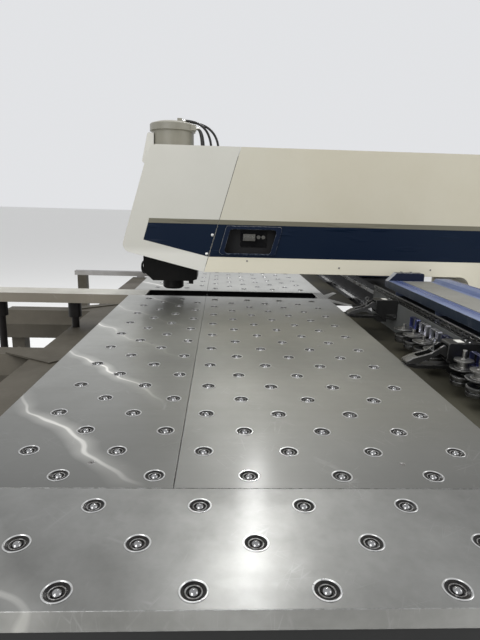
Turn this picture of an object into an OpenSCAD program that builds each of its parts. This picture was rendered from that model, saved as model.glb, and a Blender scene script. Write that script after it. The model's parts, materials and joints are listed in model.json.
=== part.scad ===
// Single-head punching machine with a linear tool magazine.
// Millimetres, +Z up. The origin lies on the floor under the punch axis.
// +X runs along the table wings, +Y runs from the punch axis back into the throat.

/* [Table] */
// Height of the table's top above the floor
table_h = 900; // [820:5:980]
// Distance from the punch axis to the outer end of a wing
wing_reach = 3190; // [2900:10:3400]
// Width of the open slot between the two wings
wing_gap = 260; // [250:5:280]
// Distance from the punch axis to the wing's front edge
wing_front = 340; // [330:5:360]
// Distance from the punch axis to the wing's rear edge
wing_rear = 1250; // [1245:1:1255]
// Place of the long seam between the narrow and the wide panel
wing_seam = 270; // [260:5:280]
// Length of the separate panel at the wing's outer end
end_panel = 377; // [370:1:385]
// Thickness of the table sheet
sheet_t = 3; // [2:0.5:4]
// Depth of the folded edge round each panel
lip_h = 44; // [36:1:44]
// Width of the seams between neighbouring panels
seam_w = 2; // [1:0.5:3]

/* [Ball transfers] */
// Spacing of the rows along the wing
row_pitch = 131; // [120:1:140]
// Spacing of the balls in a row
ball_pitch = 250; // [250:1:252]
// Diameter of the steel ball
ball_d = 22; // [18:1:24]
// Diameter of the cup that holds the ball
cup_d = 49.6; // [46:0.2:49.8]
// Diameter of the pressed rim round the cup
rim_d = 57; // [54:1:60]
// Height of the ball above the table
ball_rise = 4; // [2:1:5]

/* [C-frame] */
// Width of the welded frame across its side plates
frame_w = 440; // [400:10:480]
// Thickness of the side plates
plate_t = 40; // [30:5:60]
// Depth of the lower arm's top below the table
bed_drop = 280; // [270:5:300]
// Height of the upper arm's underside above the table
arm_rise = 250; // [240:5:270]
// Height of the upper arm's top above the table
arm_top = 1060; // [1000:10:1080]
// Depth of the throat behind the punch axis
throat_y = 2330; // [2300:5:2400]
// Depth of the column behind the throat
column_d = 730; // [650:10:870]
// Corner radius of the throat
throat_r = 120; // [80:10:160]

/* [Covers] */
// Half width over the cover panels
cover_half = 330; // [310:5:350]
// Thickness of the cover sheets
cover_t = 3; // [2:0.5:4]
// Height of the cover's top above the table
cover_high = 1112; // [1100:2:1130]
// Height of the cover's underside above the table
cover_low = 221; // [218:1:230]
// Lower end of the seam between the nose and the arm panel
seam_foot = 255; // [245:5:265]
// Upper end of that seam
seam_head = 509; // [490:1:520]
// Radius of the rounded top corner of the nose
nose_top_r = 70; // [40:5:90]
// Radius of the rounded lower corner of the nose
nose_low_r = 60; // [40:5:80]
// Height of the navy band's lower edge above the table
band_low = 335; // [325:5:345]
// Height of the navy band's upper edge above the table
band_high = 572; // [560:2:580]
// Width of the grey stripe above the band
stripe_w = 33; // [25:1:40]
// Radius of the throat corner in the cover
cover_throat_r = 80; // [50:5:110]

/* [Punching head] */
// Diameter of the turning sleeve
sleeve_d = 165; // [150:5:180]
// Diameter of the ram
ram_d = 100; // [80:2:110]
// Bore of the punch chuck in the ram
chuck_bore_d = 40; // [30:1:50]
// Depth of the punch chuck
chuck_depth = 60; // [40:5:80]
// Height of the sleeve's foot above the table at rest
foot_rise = 45; // [40:1:60]
// Bore of the die seat in the lower turning head
die_bore_d = 100; // [90:1:110]
// Depth of the die seat
die_depth = 20; // [15:1:25]
// Depth of the die seat's top below the table
die_drop = 60; // [55:1:70]
// Diameter of the hydraulic cylinder on the head
cylinder_d = 320; // [300:5:330]
// Height of the cylinder's top above the table
cylinder_top = 1307; // [1280:1:1340]

/* [Cross slide] */
// Front face of the crossbeam
beam_y = 1660; // [1655:1:1665]
// Depth of the crossbeam
beam_d = 380; // [340:5:400]
// Depth of the crossbeam's underside below the table
beam_drop = 210; // [200:1:215]
// Height of the crossbeam's top above the table
beam_rise = 100; // [80:5:120]
// Wall of the crossbeam
beam_wall = 12; // [8:1:20]
// Height of the beam cover's top above the table
hood_high = 205; // [200:1:210]
// Distance from the punch axis to the beam cover's inner end
hood_end = 470; // [460:5:500]

/* [Tool rail] */
// Front face of the sliding rail
rail_y = 1585; // [1580:1:1590]
// Thickness of the rail plate
rail_t = 15; // [12:1:16]
// Inner end of the rail at rest
rail_start = 220; // [200:5:240]
// Length of the rail
rail_len = 2800; // [2750:10:2850]
// Place of the first clamp along the wing
clamp_x = 711; // [700:1:730]
// Spacing of the clamps
clamp_pitch = 1061; // [1050:1:1070]
// Spacing of the tool cassettes
tool_pitch = 140; // [134:1:144]
// Place of the first cassette of the first group
tools_a = 1190; // [1150:5:1200]
// Place of the first cassette of the second group
tools_b = 1900; // [1900:5:1940]

/* [Side structure] */
// Distance from the outer end of a wing to its rollers
roller_inset = 290; // [240:10:390]
// Radius of the wing rollers
roller_r = 40; // [35:1:40]
// Depth of the side rails' top below the table
side_rail_drop = 220; // [220:5:230]
// Width of the fixed beam in front of the head
centre_w = 250; // [230:2:250]
// Height of the fixed beam's face
centre_h = 75; // [60:5:90]
// Front end of the fixed beam
centre_front = 1480; // [1400:10:1600]

/* [Hidden] */
$fn = 48;

// Clearance of a running fit, on the radius
fit = 0.05;
// Gap between curved faces on different pieces
gap = 0.3;

bed_h = table_h - bed_drop;
arm_low = table_h + arm_rise;
arm_high = table_h + arm_top;
frame_rear = throat_y + column_d;
beam_low = table_h - beam_drop;
beam_high = table_h + beam_rise;
side_x = wing_reach - roller_inset;
side_rail_h = table_h - side_rail_drop;
z_arm = table_h + cover_low;
z_roof = table_h + cover_high;
z_band = table_h + band_low;
z_band_top = table_h + band_high;
frame_half = frame_w / 2;
cover_in = cover_half - cover_t;
cover_rear = frame_rear + 20;
cover_front_y = throat_y - 47;
foot_h = 60;
base_plate_t = 30;
lean = (seam_head - seam_foot) / (cover_high - cover_low);

// Unit vector along v
function unit(v) = v / norm(v);

// First two numbers of a corner
function flat(p) = [p[0], p[1]];

// Arc that rounds corner b between its neighbours a and c, radius b[2]
function fillet(a, b, c, n) = b[2] == 0 ? [flat(b)] : let (
    u = unit(flat(a) - flat(b)),
    v = unit(flat(c) - flat(b)),
    half = acos(u * v) / 2,
    centre = flat(b) + unit(u + v) * b[2] / sin(half),
    s = flat(b) + u * b[2] / tan(half) - centre,
    e = flat(b) + v * b[2] / tan(half) - centre,
    a0 = atan2(s[1], s[0]),
    raw = atan2(e[1], e[0]) - a0,
    turn = raw > 180 ? raw - 360 : raw < -180 ? raw + 360 : raw
) [for (k = [0:n]) centre + b[2] * [cos(a0 + turn * k / n), sin(a0 + turn * k / n)]];

// Outline with rounded corners from a list of [x, y, radius]
function rounded(p, n = 8) = let (m = len(p)) [
    for (i = [0:m - 1]) each fillet(p[(i + m - 1) % m], p[i], p[(i + 1) % m], n)
];

// The same outline moved inwards by t, corners in counterclockwise order
function inset(p, t) = let (m = len(p)) [
    for (i = [0:m - 1])
        let (
            u = unit(flat(p[i]) - flat(p[(i + m - 1) % m])),
            v = unit(flat(p[(i + 1) % m]) - flat(p[i])),
            nu = [-u[1], u[0]],
            nv = [-v[1], v[0]],
            q = flat(p[i]) + (nu + nv) * t / (1 + nu * nv)
        ) [q[0], q[1], max(p[i][2] - t, 0)]
];

// Profile in Y and Z, drawn out along X
module along_x(x0, x1) {
    translate([x0, 0, 0]) rotate([90, 0, 90]) linear_extrude(x1 - x0) children();
}

// Profile in X and Z, drawn out along Y
module along_y(y0, y1) {
    translate([0, y1, 0]) rotate([90, 0, 0]) linear_extrude(y1 - y0) children();
}

// Profile in X and Y, drawn out along Z
module along_z(z0, z1) {
    translate([0, 0, z0]) linear_extrude(z1 - z0) children();
}

// Box between two corners
module block(low, high) {
    translate(low) cube(high - low);
}

// Round bar along Z
module post(x, y, z0, z1, r) {
    translate([x, y, z0]) cylinder(h = z1 - z0, r = r);
}

// Piece and its mirror image on the other side of the machine
module both_sides() {
    children();
    mirror([1, 0, 0]) children();
}

// Box-section tube along X, Y or Z between two corners
module tube_x(low, high, wall) {
    difference() {
        block(low, high);
        block(low + [-1, wall, wall], high + [1, -wall, -wall]);
    }
}

module tube_y(low, high, wall) {
    difference() {
        block(low, high);
        block(low + [wall, -1, wall], high + [-wall, 1, -wall]);
    }
}

module tube_z(low, high, wall) {
    difference() {
        block(low, high);
        block(low + [wall, wall, -1], high + [-wall, -wall, 1]);
    }
}

// C-frame: two side plates joined by webs along their edges
head_face_y = 190;
bed_front_y = -260;
web_t = 30;
bar_s = 50;
weld_t = 2;

function c_outline() = rounded([
    [bed_front_y, foot_h, 30],
    [frame_rear, foot_h, 0],
    [frame_rear, arm_high, 60],
    [head_face_y, arm_high, 0],
    [head_face_y, arm_low, 0],
    [throat_y, arm_low, throat_r],
    [throat_y, bed_h, throat_r],
    [bed_front_y, bed_h, 30]
]);

function c_pocket() = [
    [bed_front_y + web_t, foot_h + web_t],
    [frame_rear - web_t, foot_h + web_t],
    [frame_rear - web_t, arm_high - web_t],
    [head_face_y + web_t, arm_high - web_t],
    [head_face_y + web_t, arm_low + web_t],
    [throat_y + throat_r + web_t, arm_low + web_t],
    [throat_y + throat_r + web_t, bed_h - web_t],
    [bed_front_y + web_t, bed_h - web_t]
];

module cover_bar(y0, z0, y1, z1) {
    block([-cover_in, y0, z0], [cover_in, y1, z1]);
}

module c_frame() {
    color("dimgray") {
        difference() {
            along_x(-frame_half, frame_half) polygon(c_outline());
            along_x(-frame_half + plate_t, frame_half - plate_t) polygon(c_pocket());
        }
        for (y = [seam_foot + 175, 1000, 1800, throat_y + column_d / 2])
            cover_bar(y, arm_high - weld_t, y + bar_s, z_roof - cover_t);
        for (y = [seam_foot + 75, 1200, 2000])
            cover_bar(y, z_arm + cover_t, y + bar_s, arm_low + weld_t);
        for (z = [table_h - 100, table_h + 100])
            cover_bar(cover_front_y + cover_t, z, throat_y + weld_t, z + bar_s);
        for (z = [foot_h + 140, table_h + 100, arm_high - 260])
            cover_bar(frame_rear - weld_t, z, cover_rear - cover_t, z + bar_s);
    }
}

// Pads and base plate between the frame and the floor
pad_half = 150;
anchor_x = 280;
anchor_y0 = throat_y + 70;
anchor_y1 = anchor_y0 + 550;
anchor_d = 22;

module machine_feet() {
    color("gray") {
        block([-pad_half, -pad_half, 0], [pad_half, pad_half, foot_h]);
        difference() {
            block([-cover_half, throat_y, 0], [cover_half, frame_rear - 10, base_plate_t]);
            for (x = [-anchor_x, anchor_x], y = [anchor_y0, anchor_y1])
                post(x, y, -1, base_plate_t + 1, anchor_d / 2);
        }
        for (y = [anchor_y0, anchor_y1])
            block([-frame_half + 20, y - 50, base_plate_t], [frame_half - 20, y + 50, foot_h]);
    }
}

// Nose: one folded hood over the punching head, open to the arm and below the head
nose_front_top = -130;
nose_front_low = -352;
nose_low_rise = 371;
head_hole_half = 125;
cylinder_hole_r = cylinder_d / 2 + 6;
hose_slot_half = 90;
hose_slot_y = 400;

function nose_corners(back) = [
    [seam_foot + back, z_arm - back * 0.25, 0],
    [seam_head + back, z_roof, 0],
    [nose_front_top, z_roof, nose_top_r],
    [nose_front_low, table_h + nose_low_rise, nose_low_r]
];

module nose_cover() {
    color("whitesmoke") difference() {
        along_x(-cover_half, cover_half) polygon(rounded(nose_corners(0)));
        along_x(-cover_in, cover_in) polygon(rounded(inset(nose_corners(60), cover_t)));
        post(0, 0, arm_high - 40, z_roof + 1, cylinder_hole_r);
        block([-hose_slot_half, 100, z_roof - 10], [hose_slot_half, hose_slot_y, z_roof + 1]);
        block(
            [-head_hole_half, casting_y0 - 13, z_arm],
            [head_hole_half, casting_y1 + 9, z_arm + 130]
        );
    }
}

// Side panels: a long sheet on the arm and a second sheet down the column
panel_foot = 60;
seam_gap = 3;
joint_y = cover_front_y + cover_throat_r + 10;
joint_z = z_arm - cover_throat_r - 30;
window_low = 364;
window_high = 541;
window_a = 400;
window_b = 792;
window_lean = 0.27;
window_r = 22;

function arm_sheet() = rounded([
    [seam_foot + seam_gap, z_arm, 0],
    [cover_front_y, z_arm, cover_throat_r],
    [cover_front_y, joint_z, 0],
    [joint_y, joint_z, 0],
    [joint_y, z_roof, 0],
    [seam_head + seam_gap, z_roof, 0]
]);

function column_sheet() = rounded([
    [cover_front_y, panel_foot, 0],
    [cover_rear, panel_foot, 0],
    [cover_rear, z_roof, 20],
    [joint_y + seam_gap, z_roof, 0],
    [joint_y + seam_gap, joint_z - seam_gap, 0],
    [cover_front_y, joint_z - seam_gap, 0]
]);

function window_corners() = [
    [window_a, table_h + window_low, window_r],
    [window_b - window_lean * (window_high - window_low), table_h + window_low, window_r],
    [window_b, table_h + window_high, window_r],
    [window_a + window_lean * (window_high - window_low), table_h + window_high, window_r]
];

// The raised frame is wide at its sides and narrow above and below
frame_edge = 34;
frame_below = 9;
frame_above = 22;
frame_lap = 6;

function frame_corners(t) = let (
    lean_low = window_lean * frame_below,
    lean_high = window_lean * frame_above,
    w = window_corners(),
    side = frame_edge + t
) [
    [w[0][0] - side - lean_low, w[0][1] - frame_below - t, window_r],
    [w[1][0] + side + lean_low, w[1][1] - frame_below - t, window_r],
    [w[2][0] + side + lean_high, w[2][1] + frame_above + t, window_r],
    [w[3][0] - side + lean_high, w[3][1] + frame_above + t, window_r]
];

// The near sheet is cut out behind the frame, which laps over the cut's edge
module arm_panel_near() {
    color("ivory") {
        difference() {
            along_x(cover_in, cover_half) polygon(arm_sheet());
            along_x(cover_in - 1, cover_half + 1) polygon(rounded(frame_corners(-frame_lap)));
        }
        along_x(cover_in, cover_half) polygon(column_sheet());
    }
}

module arm_panel_far() {
    color("ivory") {
        along_x(-cover_half, -cover_in) polygon(arm_sheet());
        along_x(-cover_half, -cover_in) polygon(column_sheet());
    }
}

module arm_roof() {
    color("ivory") block(
        [-cover_in, seam_head + seam_gap, z_roof - cover_t],
        [cover_in, cover_rear - cover_t, z_roof]
    );
}

// Liner: one sheet under the arm, round the throat corner and down the column
module throat_liner() {
    outer = [
        [seam_foot + 10, z_arm, 0],
        [cover_front_y, z_arm, cover_throat_r],
        [cover_front_y, bed_h + 60, 0],
        [cover_front_y + cover_t, bed_h + 60, 0],
        [cover_front_y + cover_t, z_arm + cover_t, cover_throat_r + cover_t],
        [seam_foot + 10, z_arm + cover_t, 0]
    ];
    color("gainsboro") along_x(-cover_in, cover_in) polygon(rounded(outer));
}

module rear_cover() {
    color("ivory") block(
        [-cover_in, cover_rear - cover_t, panel_foot],
        [cover_in, cover_rear, z_roof - cover_t]
    );
}

// Navy film on both sides of the nose and the arm
film_t = 0.6;
band_front_top = -150;
band_front_low = -186;
band_break = 289;

function band_nose() = let (foot = table_h + 449) [
    [band_front_low, foot],
    [band_break - 10, z_band + 2.5],
    [seam_foot + lean * (band_low - cover_low) - 1, z_band + 2.5],
    [seam_foot + lean * (band_high - cover_low) - 1, z_band_top],
    [band_front_top, z_band_top]
];

function band_arm() = [
    [seam_foot + lean * (band_low - cover_low) + seam_gap + 1, z_band],
    [cover_rear - 1, z_band],
    [cover_rear - 1, z_band_top],
    [seam_foot + lean * (band_high - cover_low) + seam_gap + 1, z_band_top]
];

module trim_bands() {
    color("midnightblue") both_sides() {
        along_x(cover_half, cover_half + film_t) polygon(band_nose());
        difference() {
            along_x(cover_half, cover_half + film_t) polygon(band_arm());
            along_x(cover_half - 1, cover_half + 1) polygon(rounded(frame_corners(1)));
        }
    }
}

module trim_stripes() {
    z0 = z_band_top;
    z1 = z_band_top + stripe_w;
    head = seam_foot + lean * (band_high - cover_low);
    color("darkgray") both_sides() {
        along_x(cover_half, cover_half + film_t) polygon([
            [band_front_top, z0], [head - 1, z0],
            [head - 1 + lean * stripe_w, z1], [band_front_top + 8, z1]
        ]);
        along_x(cover_half, cover_half + film_t) polygon([
            [head + seam_gap + 1, z0], [cover_rear - 1, z0],
            [cover_rear - 1, z1], [head + seam_gap + 1 + lean * stripe_w, z1]
        ]);
    }
}

// Raised frame round the window in the near panel
window_frame_t = 10;

module window_frame() {
    color("midnightblue") difference() {
        along_x(cover_half, cover_half + window_frame_t)
            polygon(rounded(frame_corners(0)));
        along_x(cover_half - 1, cover_half + window_frame_t + 1)
            polygon(rounded(window_corners()));
    }
}

// Valve block behind the window, on the frame's side plate
module valve_block() {
    y0 = 545;
    z0 = table_h + 455;
    color("silver") {
        block([frame_half, y0 - 20, z0 - 50], [frame_half + 10, y0 + 180, z0 + 70]);
        block([frame_half + 10, y0, z0], [frame_half + 70, y0 + 90, z0 + 50]);
        for (k = [0:2])
            translate([frame_half + 70, y0 + 15 + 30 * k, z0 + 25])
                rotate([0, 90, 0]) cylinder(h = 12, r = 10);
        for (k = [0:1])
            translate([frame_half + 10, y0 + 115 + 35 * k, z0 + 28])
                rotate([0, 90, 0]) cylinder(h = 60, r = 14);
    }
}

// Hydraulic cylinder on top of the head
ring_r = 172;

module head_cylinder() {
    z_top = table_h + cylinder_top;
    r = cylinder_d / 2;
    color("darkkhaki") {
        rotate_extrude($fn = 96) polygon([
            [0, arm_high], [r, arm_high], [r, z_roof + 18], [r + 8, z_roof + 18],
            [r + 8, z_roof + 30], [r, z_roof + 30], [r, z_top - 72], [ring_r, z_top - 66],
            [ring_r, z_top - 20], [ring_r - 6, z_top - 14], [r - 40, z_top], [0, z_top]
        ]);
        for (k = [0:1]) difference() {
            block([hose_xs[k] - 14, fitting_y - 34, z_top - 1], [hose_xs[k] + 14, fitting_y, z_top + 32]);
            translate([hose_xs[k], fitting_y - 10, z_top + hose_up]) rotate([-90, 0, 0])
                cylinder(h = 20, r = hose_r + 0.5);
        }
        for (k = [2:3]) difference() {
            block([hose_xs[k] - 14, 120, z_top - 62], [hose_xs[k] + 14, side_fitting_y, z_top - 24]);
            translate([hose_xs[k], side_fitting_y - 10, z_top - hose_down]) rotate([-90, 0, 0])
                cylinder(h = 20, r = hose_r + 0.5);
        }
    }
}

// Hydraulic hoses from the fittings on the cylinder down to the frame's top
hose_r = 9;
hose_up = 16;
hose_down = 43;
hose_square = 0.7;
fitting_y = 70;
side_fitting_y = ring_r + 8;
hose_xs = [-45, 10, 45, 80];
hose_end_ys = [352, 296, 238, 226];

// Point and direction on a squared quarter arch, from level at 0 to upright at 90 degrees
function arch_point(y0, z0, y1, z1, a) = [
    y0 + (y1 - y0) * pow(sin(a), hose_square),
    z1 + (z0 - z1) * pow(cos(a), hose_square)
];

function arch_slope(y0, z0, y1, z1, a) = unit([
    (y1 - y0) * pow(cos(a), 2 - hose_square),
    -(z0 - z1) * pow(sin(a), 2 - hose_square)
]);

module hose_arch(y0, z0, y1, z1) {
    steps = 14;
    sides = 10;
    points = [
        for (i = [0:steps], k = [0:sides - 1])
            let (
                p = arch_point(y0, z0, y1, z1, 90 * i / steps),
                t = arch_slope(y0, z0, y1, z1, 90 * i / steps),
                c = hose_r * cos(360 * k / sides)
            ) [hose_r * sin(360 * k / sides), p[0] - t[1] * c, p[1] + t[0] * c]
    ];
    faces = concat(
        [[for (k = [0:sides - 1]) k]],
        [for (i = [0:steps - 1], k = [0:sides - 1]) [
            i * sides + k, (i + 1) * sides + k,
            (i + 1) * sides + (k + 1) % sides, i * sides + (k + 1) % sides
        ]],
        [[for (k = [0:sides - 1]) steps * sides + sides - 1 - k]]
    );
    polyhedron(points = points, faces = faces);
}

module head_hoses() {
    z_top = table_h + cylinder_top;
    color("black") {
        for (k = [0:1]) translate([hose_xs[k], 0, 0])
            hose_arch(fitting_y - 9, z_top + hose_up, hose_end_ys[k], arm_high);
        for (k = [2:3]) translate([hose_xs[k], 0, 0])
            hose_arch(side_fitting_y - 9, z_top - hose_down, hose_end_ys[k], arm_high);
    }
}

// Small hood on the nose in front of the cylinder
hump_half = 110;
hump_high = 1218;
hump_foot = 995;
nose_slope = (nose_front_top - nose_front_low) / (cover_high - nose_low_rise);

// Y of the nose's front face at a height above the table
function nose_y(rise) = nose_front_top - (cover_high - rise) * nose_slope;

function hump_corners(t) = [
    [nose_y(hump_foot), table_h + hump_foot, 0],
    [nose_y(cover_high) - 0.5, z_roof, 0],
    [-76, z_roof, 0],
    [-50, table_h + hump_high, 0],
    [-176, table_h + hump_high, 14],
    [-222, table_h + hump_foot + 12, 14]
];

module hump_cover() {
    shell = [for (i = [5:-1:0]) hump_corners(0)[i]];
    color("lightgray") difference() {
        along_x(-hump_half, hump_half) polygon(rounded(shell));
        along_x(-hump_half + cover_t, hump_half - cover_t) polygon([
            [nose_y(hump_foot) + 40, table_h + hump_foot + 3],
            [-216, table_h + hump_foot + 15], [-173, table_h + hump_high - 3],
            [-40, table_h + hump_high - 3], [-60, z_roof - 30]
        ]);
        post(0, 0, table_h + hump_foot - 1, table_h + hump_high + 1, cylinder_d / 2 + 10);
    }
}

// Cast head on the front of the frame, with the vertical bore for the sleeve
casting_low = 119;
casting_half = 200;
casting_y0 = -222;
casting_y1 = 196;
flange_r = 120;
flange_z = arm_low + 150;
z_nose_hole = table_h + 350;

module head_casting() {
    z_low = table_h + casting_low;
    z_step = arm_low + 80;
    color([0.12, 0.12, 0.13]) difference() {
        union() {
            block([-casting_half, -110, z_step], [casting_half, head_face_y, arm_high]);
            along_x(-120, 120) polygon(rounded([
                [casting_y0, z_nose_hole, 0], [casting_y0, z_low + 70, 20], [-150, z_low, 12],
                [150, z_low, 8], [casting_y1, z_low + 15, 6], [casting_y1, arm_low - 20, 0],
                [head_face_y, arm_low - 20, 0], [head_face_y, z_step + 1, 0],
                [-110, z_step + 30, 0]
            ]));
            block([60, 130, z_low - 26], [95, 165, z_low + 20]);
        }
        post(0, 0, z_low - 1, arm_high + 1, sleeve_d / 2 + fit);
        post(0, 0, flange_z, flange_z + 40 + gap, flange_r + gap);
        for (x = [-90, 90])
            post(x, -125, z_low - 1, z_low + 30, 12);
    }
}

// Turning sleeve, ram and stripper
sleeve_top = arm_low + 400;

module upper_rotor() {
    z_foot = table_h + foot_rise + stripper_h;
    r = sleeve_d / 2;
    color([0.15, 0.15, 0.16]) difference() {
        union() {
            post(0, 0, z_foot, sleeve_top, r);
            post(0, 0, flange_z + gap, flange_z + 40, flange_r);
        }
        post(0, 0, z_foot - 1, sleeve_top + 1, ram_d / 2 + fit);
    }
}

ram_stroke = 40;
stripper_h = 17;

module ram() {
    z_foot = table_h + foot_rise + stripper_h + ram_stroke + 3;
    color("silver") difference() {
        post(0, 0, z_foot, arm_high - 60, ram_d / 2);
        post(0, 0, z_foot - 1, z_foot + chuck_depth, chuck_bore_d / 2);
    }
}

module stripper() {
    z_foot = table_h + foot_rise;
    r = sleeve_d / 2;
    color([0.1, 0.1, 0.1]) rotate_extrude() polygon([
        [30, z_foot], [r - 16, z_foot], [r, z_foot + 14], [r, z_foot + stripper_h - gap],
        [30, z_foot + stripper_h - gap]
    ]);
}

// Housing and turning die seat on the lower arm
seat_r = 112;

module lower_housing() {
    z_seat = table_h - die_drop;
    color("dimgray") difference() {
        union() {
            block([-190, -190, bed_h], [190, 190, bed_h + 60]);
            post(0, 0, bed_h + 60, z_seat - 10, seat_r + 6);
        }
        post(0, 0, bed_h + 30, z_seat, 80 + fit);
    }
}

module lower_rotor() {
    z_seat = table_h - die_drop;
    color("silver") difference() {
        union() {
            post(0, 0, bed_h + 30 + gap, z_seat - 5, 80);
            post(0, 0, z_seat - 10 + gap, z_seat, seat_r);
        }
        post(0, 0, z_seat - die_depth, z_seat + 1, die_bore_d / 2 + fit);
        post(0, 0, bed_h, z_seat, 30);
    }
}

// Guide rail section, with its running faces undercut
function rail_section(w, h) = [
    [-w / 2, 0], [w / 2, 0], [w / 2, h * 0.4], [w / 2 - 4, h * 0.52], [w / 2 - 4, h * 0.6],
    [w / 2, h * 0.75], [w / 2, h], [-w / 2, h], [-w / 2, h * 0.75],
    [-w / 2 + 4, h * 0.6], [-w / 2 + 4, h * 0.52], [-w / 2, h * 0.4]
];

guide_w = 34;
guide_h = 40;
guide_x = 165;
guide_y0 = 380;
guide_y1 = throat_y - 150;
block_len = 160;

module y_guide_rails() {
    color("silver") for (s = [-1, 1])
        translate([s * guide_x, 0, bed_h])
            along_y(guide_y0, guide_y1) polygon(rail_section(guide_w, guide_h));
}

// Carriage block that runs on a guide rail, slot downwards
module guide_block(w, high, len) {
    along_y(-len / 2, len / 2) difference() {
        translate([-w / 2, 8]) square([w, high - 8]);
        translate([-guide_w / 2 - gap, 0]) square([guide_w + 2 * gap, guide_h + gap]);
    }
}

y_blocks = [beam_y + 60, beam_y + beam_d - 60];

module y_guide_blocks() {
    color("steelblue") for (s = [-1, 1], y = y_blocks)
        translate([s * guide_x, y, bed_h]) guide_block(90, beam_low - bed_h, block_len * 0.7);
}

// Screw that drives the cross slide, its bearings and its motor
screw_r = 16;
screw_z = bed_h + 44;
screw_y0 = 320;
screw_y1 = throat_y - 230;
motor_y1 = throat_y - 126;

module y_screw() {
    color("silver") translate([0, screw_y0, screw_z]) rotate([-90, 0, 0])
        cylinder(h = screw_y1 - screw_y0, r = screw_r);
}

module y_motor() {
    color("black") difference() {
        union() {
            along_y(screw_y0 - 20, screw_y0 + 30) polygon(rounded([
                [-55, bed_h, 0], [55, bed_h, 0], [55, screw_z + 24, 16], [-55, screw_z + 24, 16]
            ]));
            along_y(screw_y1 - 30, screw_y1) polygon(rounded([
                [-62, bed_h, 0], [62, bed_h, 0], [62, bed_h + 120, 12], [-62, bed_h + 120, 12]
            ]));
            along_y(screw_y1, motor_y1) polygon(rounded([
                [-50, bed_h, 8], [50, bed_h, 8], [50, bed_h + 108, 16], [-50, bed_h + 108, 16]
            ]));
        }
        translate([0, screw_y0, screw_z]) rotate([-90, 0, 0])
            cylinder(h = screw_y1 - screw_y0 + gap, r = screw_r + fit);
    }
}

// Fixed beam in front of the head, with its round black posts
module centre_beam() {
    h = centre_w / 2;
    color("gray") difference() {
        block([-h, -centre_front, table_h - centre_h], [h, -210, table_h]);
        block([-h + 6, -centre_front - 1, table_h - centre_h - 1], [h - 6, -216, table_h - 6]);
    }
}

post_ys = [-805, -1400];
post_r = 52;
post_low = beam_low;

module beam_posts() {
    z_top = table_h - 6;
    color([0.1, 0.1, 0.1]) {
        for (y = post_ys) post(0, y, post_low, z_top, post_r);
        post(0, post_ys[0], girder_top, post_low, 30);
        post(0, post_ys[1], 20, post_low, 30);
        block([-90, post_ys[1] - 70, 0], [90, post_ys[1] + 70, 20]);
    }
}

// Wide bevelled girder across the front, under the wings, with two arms to the front
girder_top = table_h - 300;
girder_low = girder_top - 240;
girder_y0 = -960;
girder_y1 = -520;
girder_bevel = 110;
girder_wall = 8;
arm_x0 = 500;
arm_x1 = 880;
arm_front = -1640;
tie_x = 90;
tie_w = 90;
plate_h = 10;

function girder_outline(a, b, t) = [
    [a + t, girder_low + t], [b - t, girder_low + t],
    [b - t, girder_top - girder_bevel - t * 0.4], [b - girder_bevel - t * 0.4, girder_top - t],
    [a + girder_bevel + t * 0.4, girder_top - t], [a + t, girder_top - girder_bevel - t * 0.4]
];

module girder_arm() {
    difference() {
        along_y(arm_front, girder_y0 + girder_bevel)
            polygon(girder_outline(arm_x0, arm_x1, 0));
        along_y(arm_front + girder_wall, girder_y0 + girder_wall - 1)
            polygon(girder_outline(arm_x0, arm_x1, girder_wall));
        along_x(arm_x0 - 1, arm_x1 + 1)
            polygon(girder_outline(girder_y0, girder_y1, girder_wall));
    }
}

// Plate on top of the girder's corner, with its corners cut and its bolt holes
module corner_plate() {
    x_mid = (arm_x0 + arm_x1) / 2 + 40;
    y_mid = girder_y0 + 90;
    difference() {
        along_z(girder_top - weld_t, girder_top + plate_h) polygon([
            [arm_x0 + 120, girder_y0 - 60], [arm_x1 + 40, girder_y1 - 130],
            [arm_x1 + 90, girder_y1 - 170], [arm_x1 - 40, girder_y0 + 50],
            [arm_x1 - 120, girder_y0 - 90]
        ]);
        for (t = [-1, 0, 1])
            post(x_mid + 66 * t, y_mid + 75 * t, girder_top, girder_top + plate_h + 1, 9);
    }
}

module front_girder() {
    color([0.45, 0.42, 0.38]) {
        difference() {
            along_x(-side_x, side_x) polygon(girder_outline(girder_y0, girder_y1, 0));
            along_x(-side_x + girder_wall, side_x - girder_wall)
                polygon(girder_outline(girder_y0, girder_y1, girder_wall));
        }
        both_sides() {
            girder_arm();
            corner_plate();
            tube_y(
                [tie_x, girder_y1 - weld_t, girder_low + 40],
                [tie_x + tie_w, bed_front_y, girder_top - girder_bevel - 30], girder_wall
            );
        }
    }
}

leg_s = 120;
leg_base_t = 20;
side_y0 = -1650;
side_y1 = 1330;
side_rail_w = 100;
side_rail_t = 60;

module leg(x, y, top) {
    s = leg_s / 2;
    block([x - leg_s, y - leg_s, 0], [x + leg_s, y + leg_s, leg_base_t]);
    tube_z([x - s, y - s, leg_base_t - weld_t], [x + s, y + s, top], girder_wall);
}

module side_legs() {
    color([0.45, 0.42, 0.38]) both_sides() {
        for (y = [side_y0 + 100, side_y1 - 100]) leg(side_x, y, side_rail_h - side_rail_t);
        leg(side_x - leg_s, (girder_y0 + girder_y1) / 2, girder_low);
        leg((arm_x0 + arm_x1) / 2, arm_front + 90, girder_low);
    }
}

module side_rails() {
    color("gray") both_sides() {
        w = side_rail_w / 2;
        y_mid = (girder_y0 + girder_y1) / 2;
        block([side_x - w, side_y0, side_rail_h - side_rail_t], [side_x + w, side_y1, side_rail_h]);
        block([side_x - w, y_mid - w, girder_top], [side_x + w, y_mid + w, side_rail_h - side_rail_t + weld_t]);
    }
}

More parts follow.
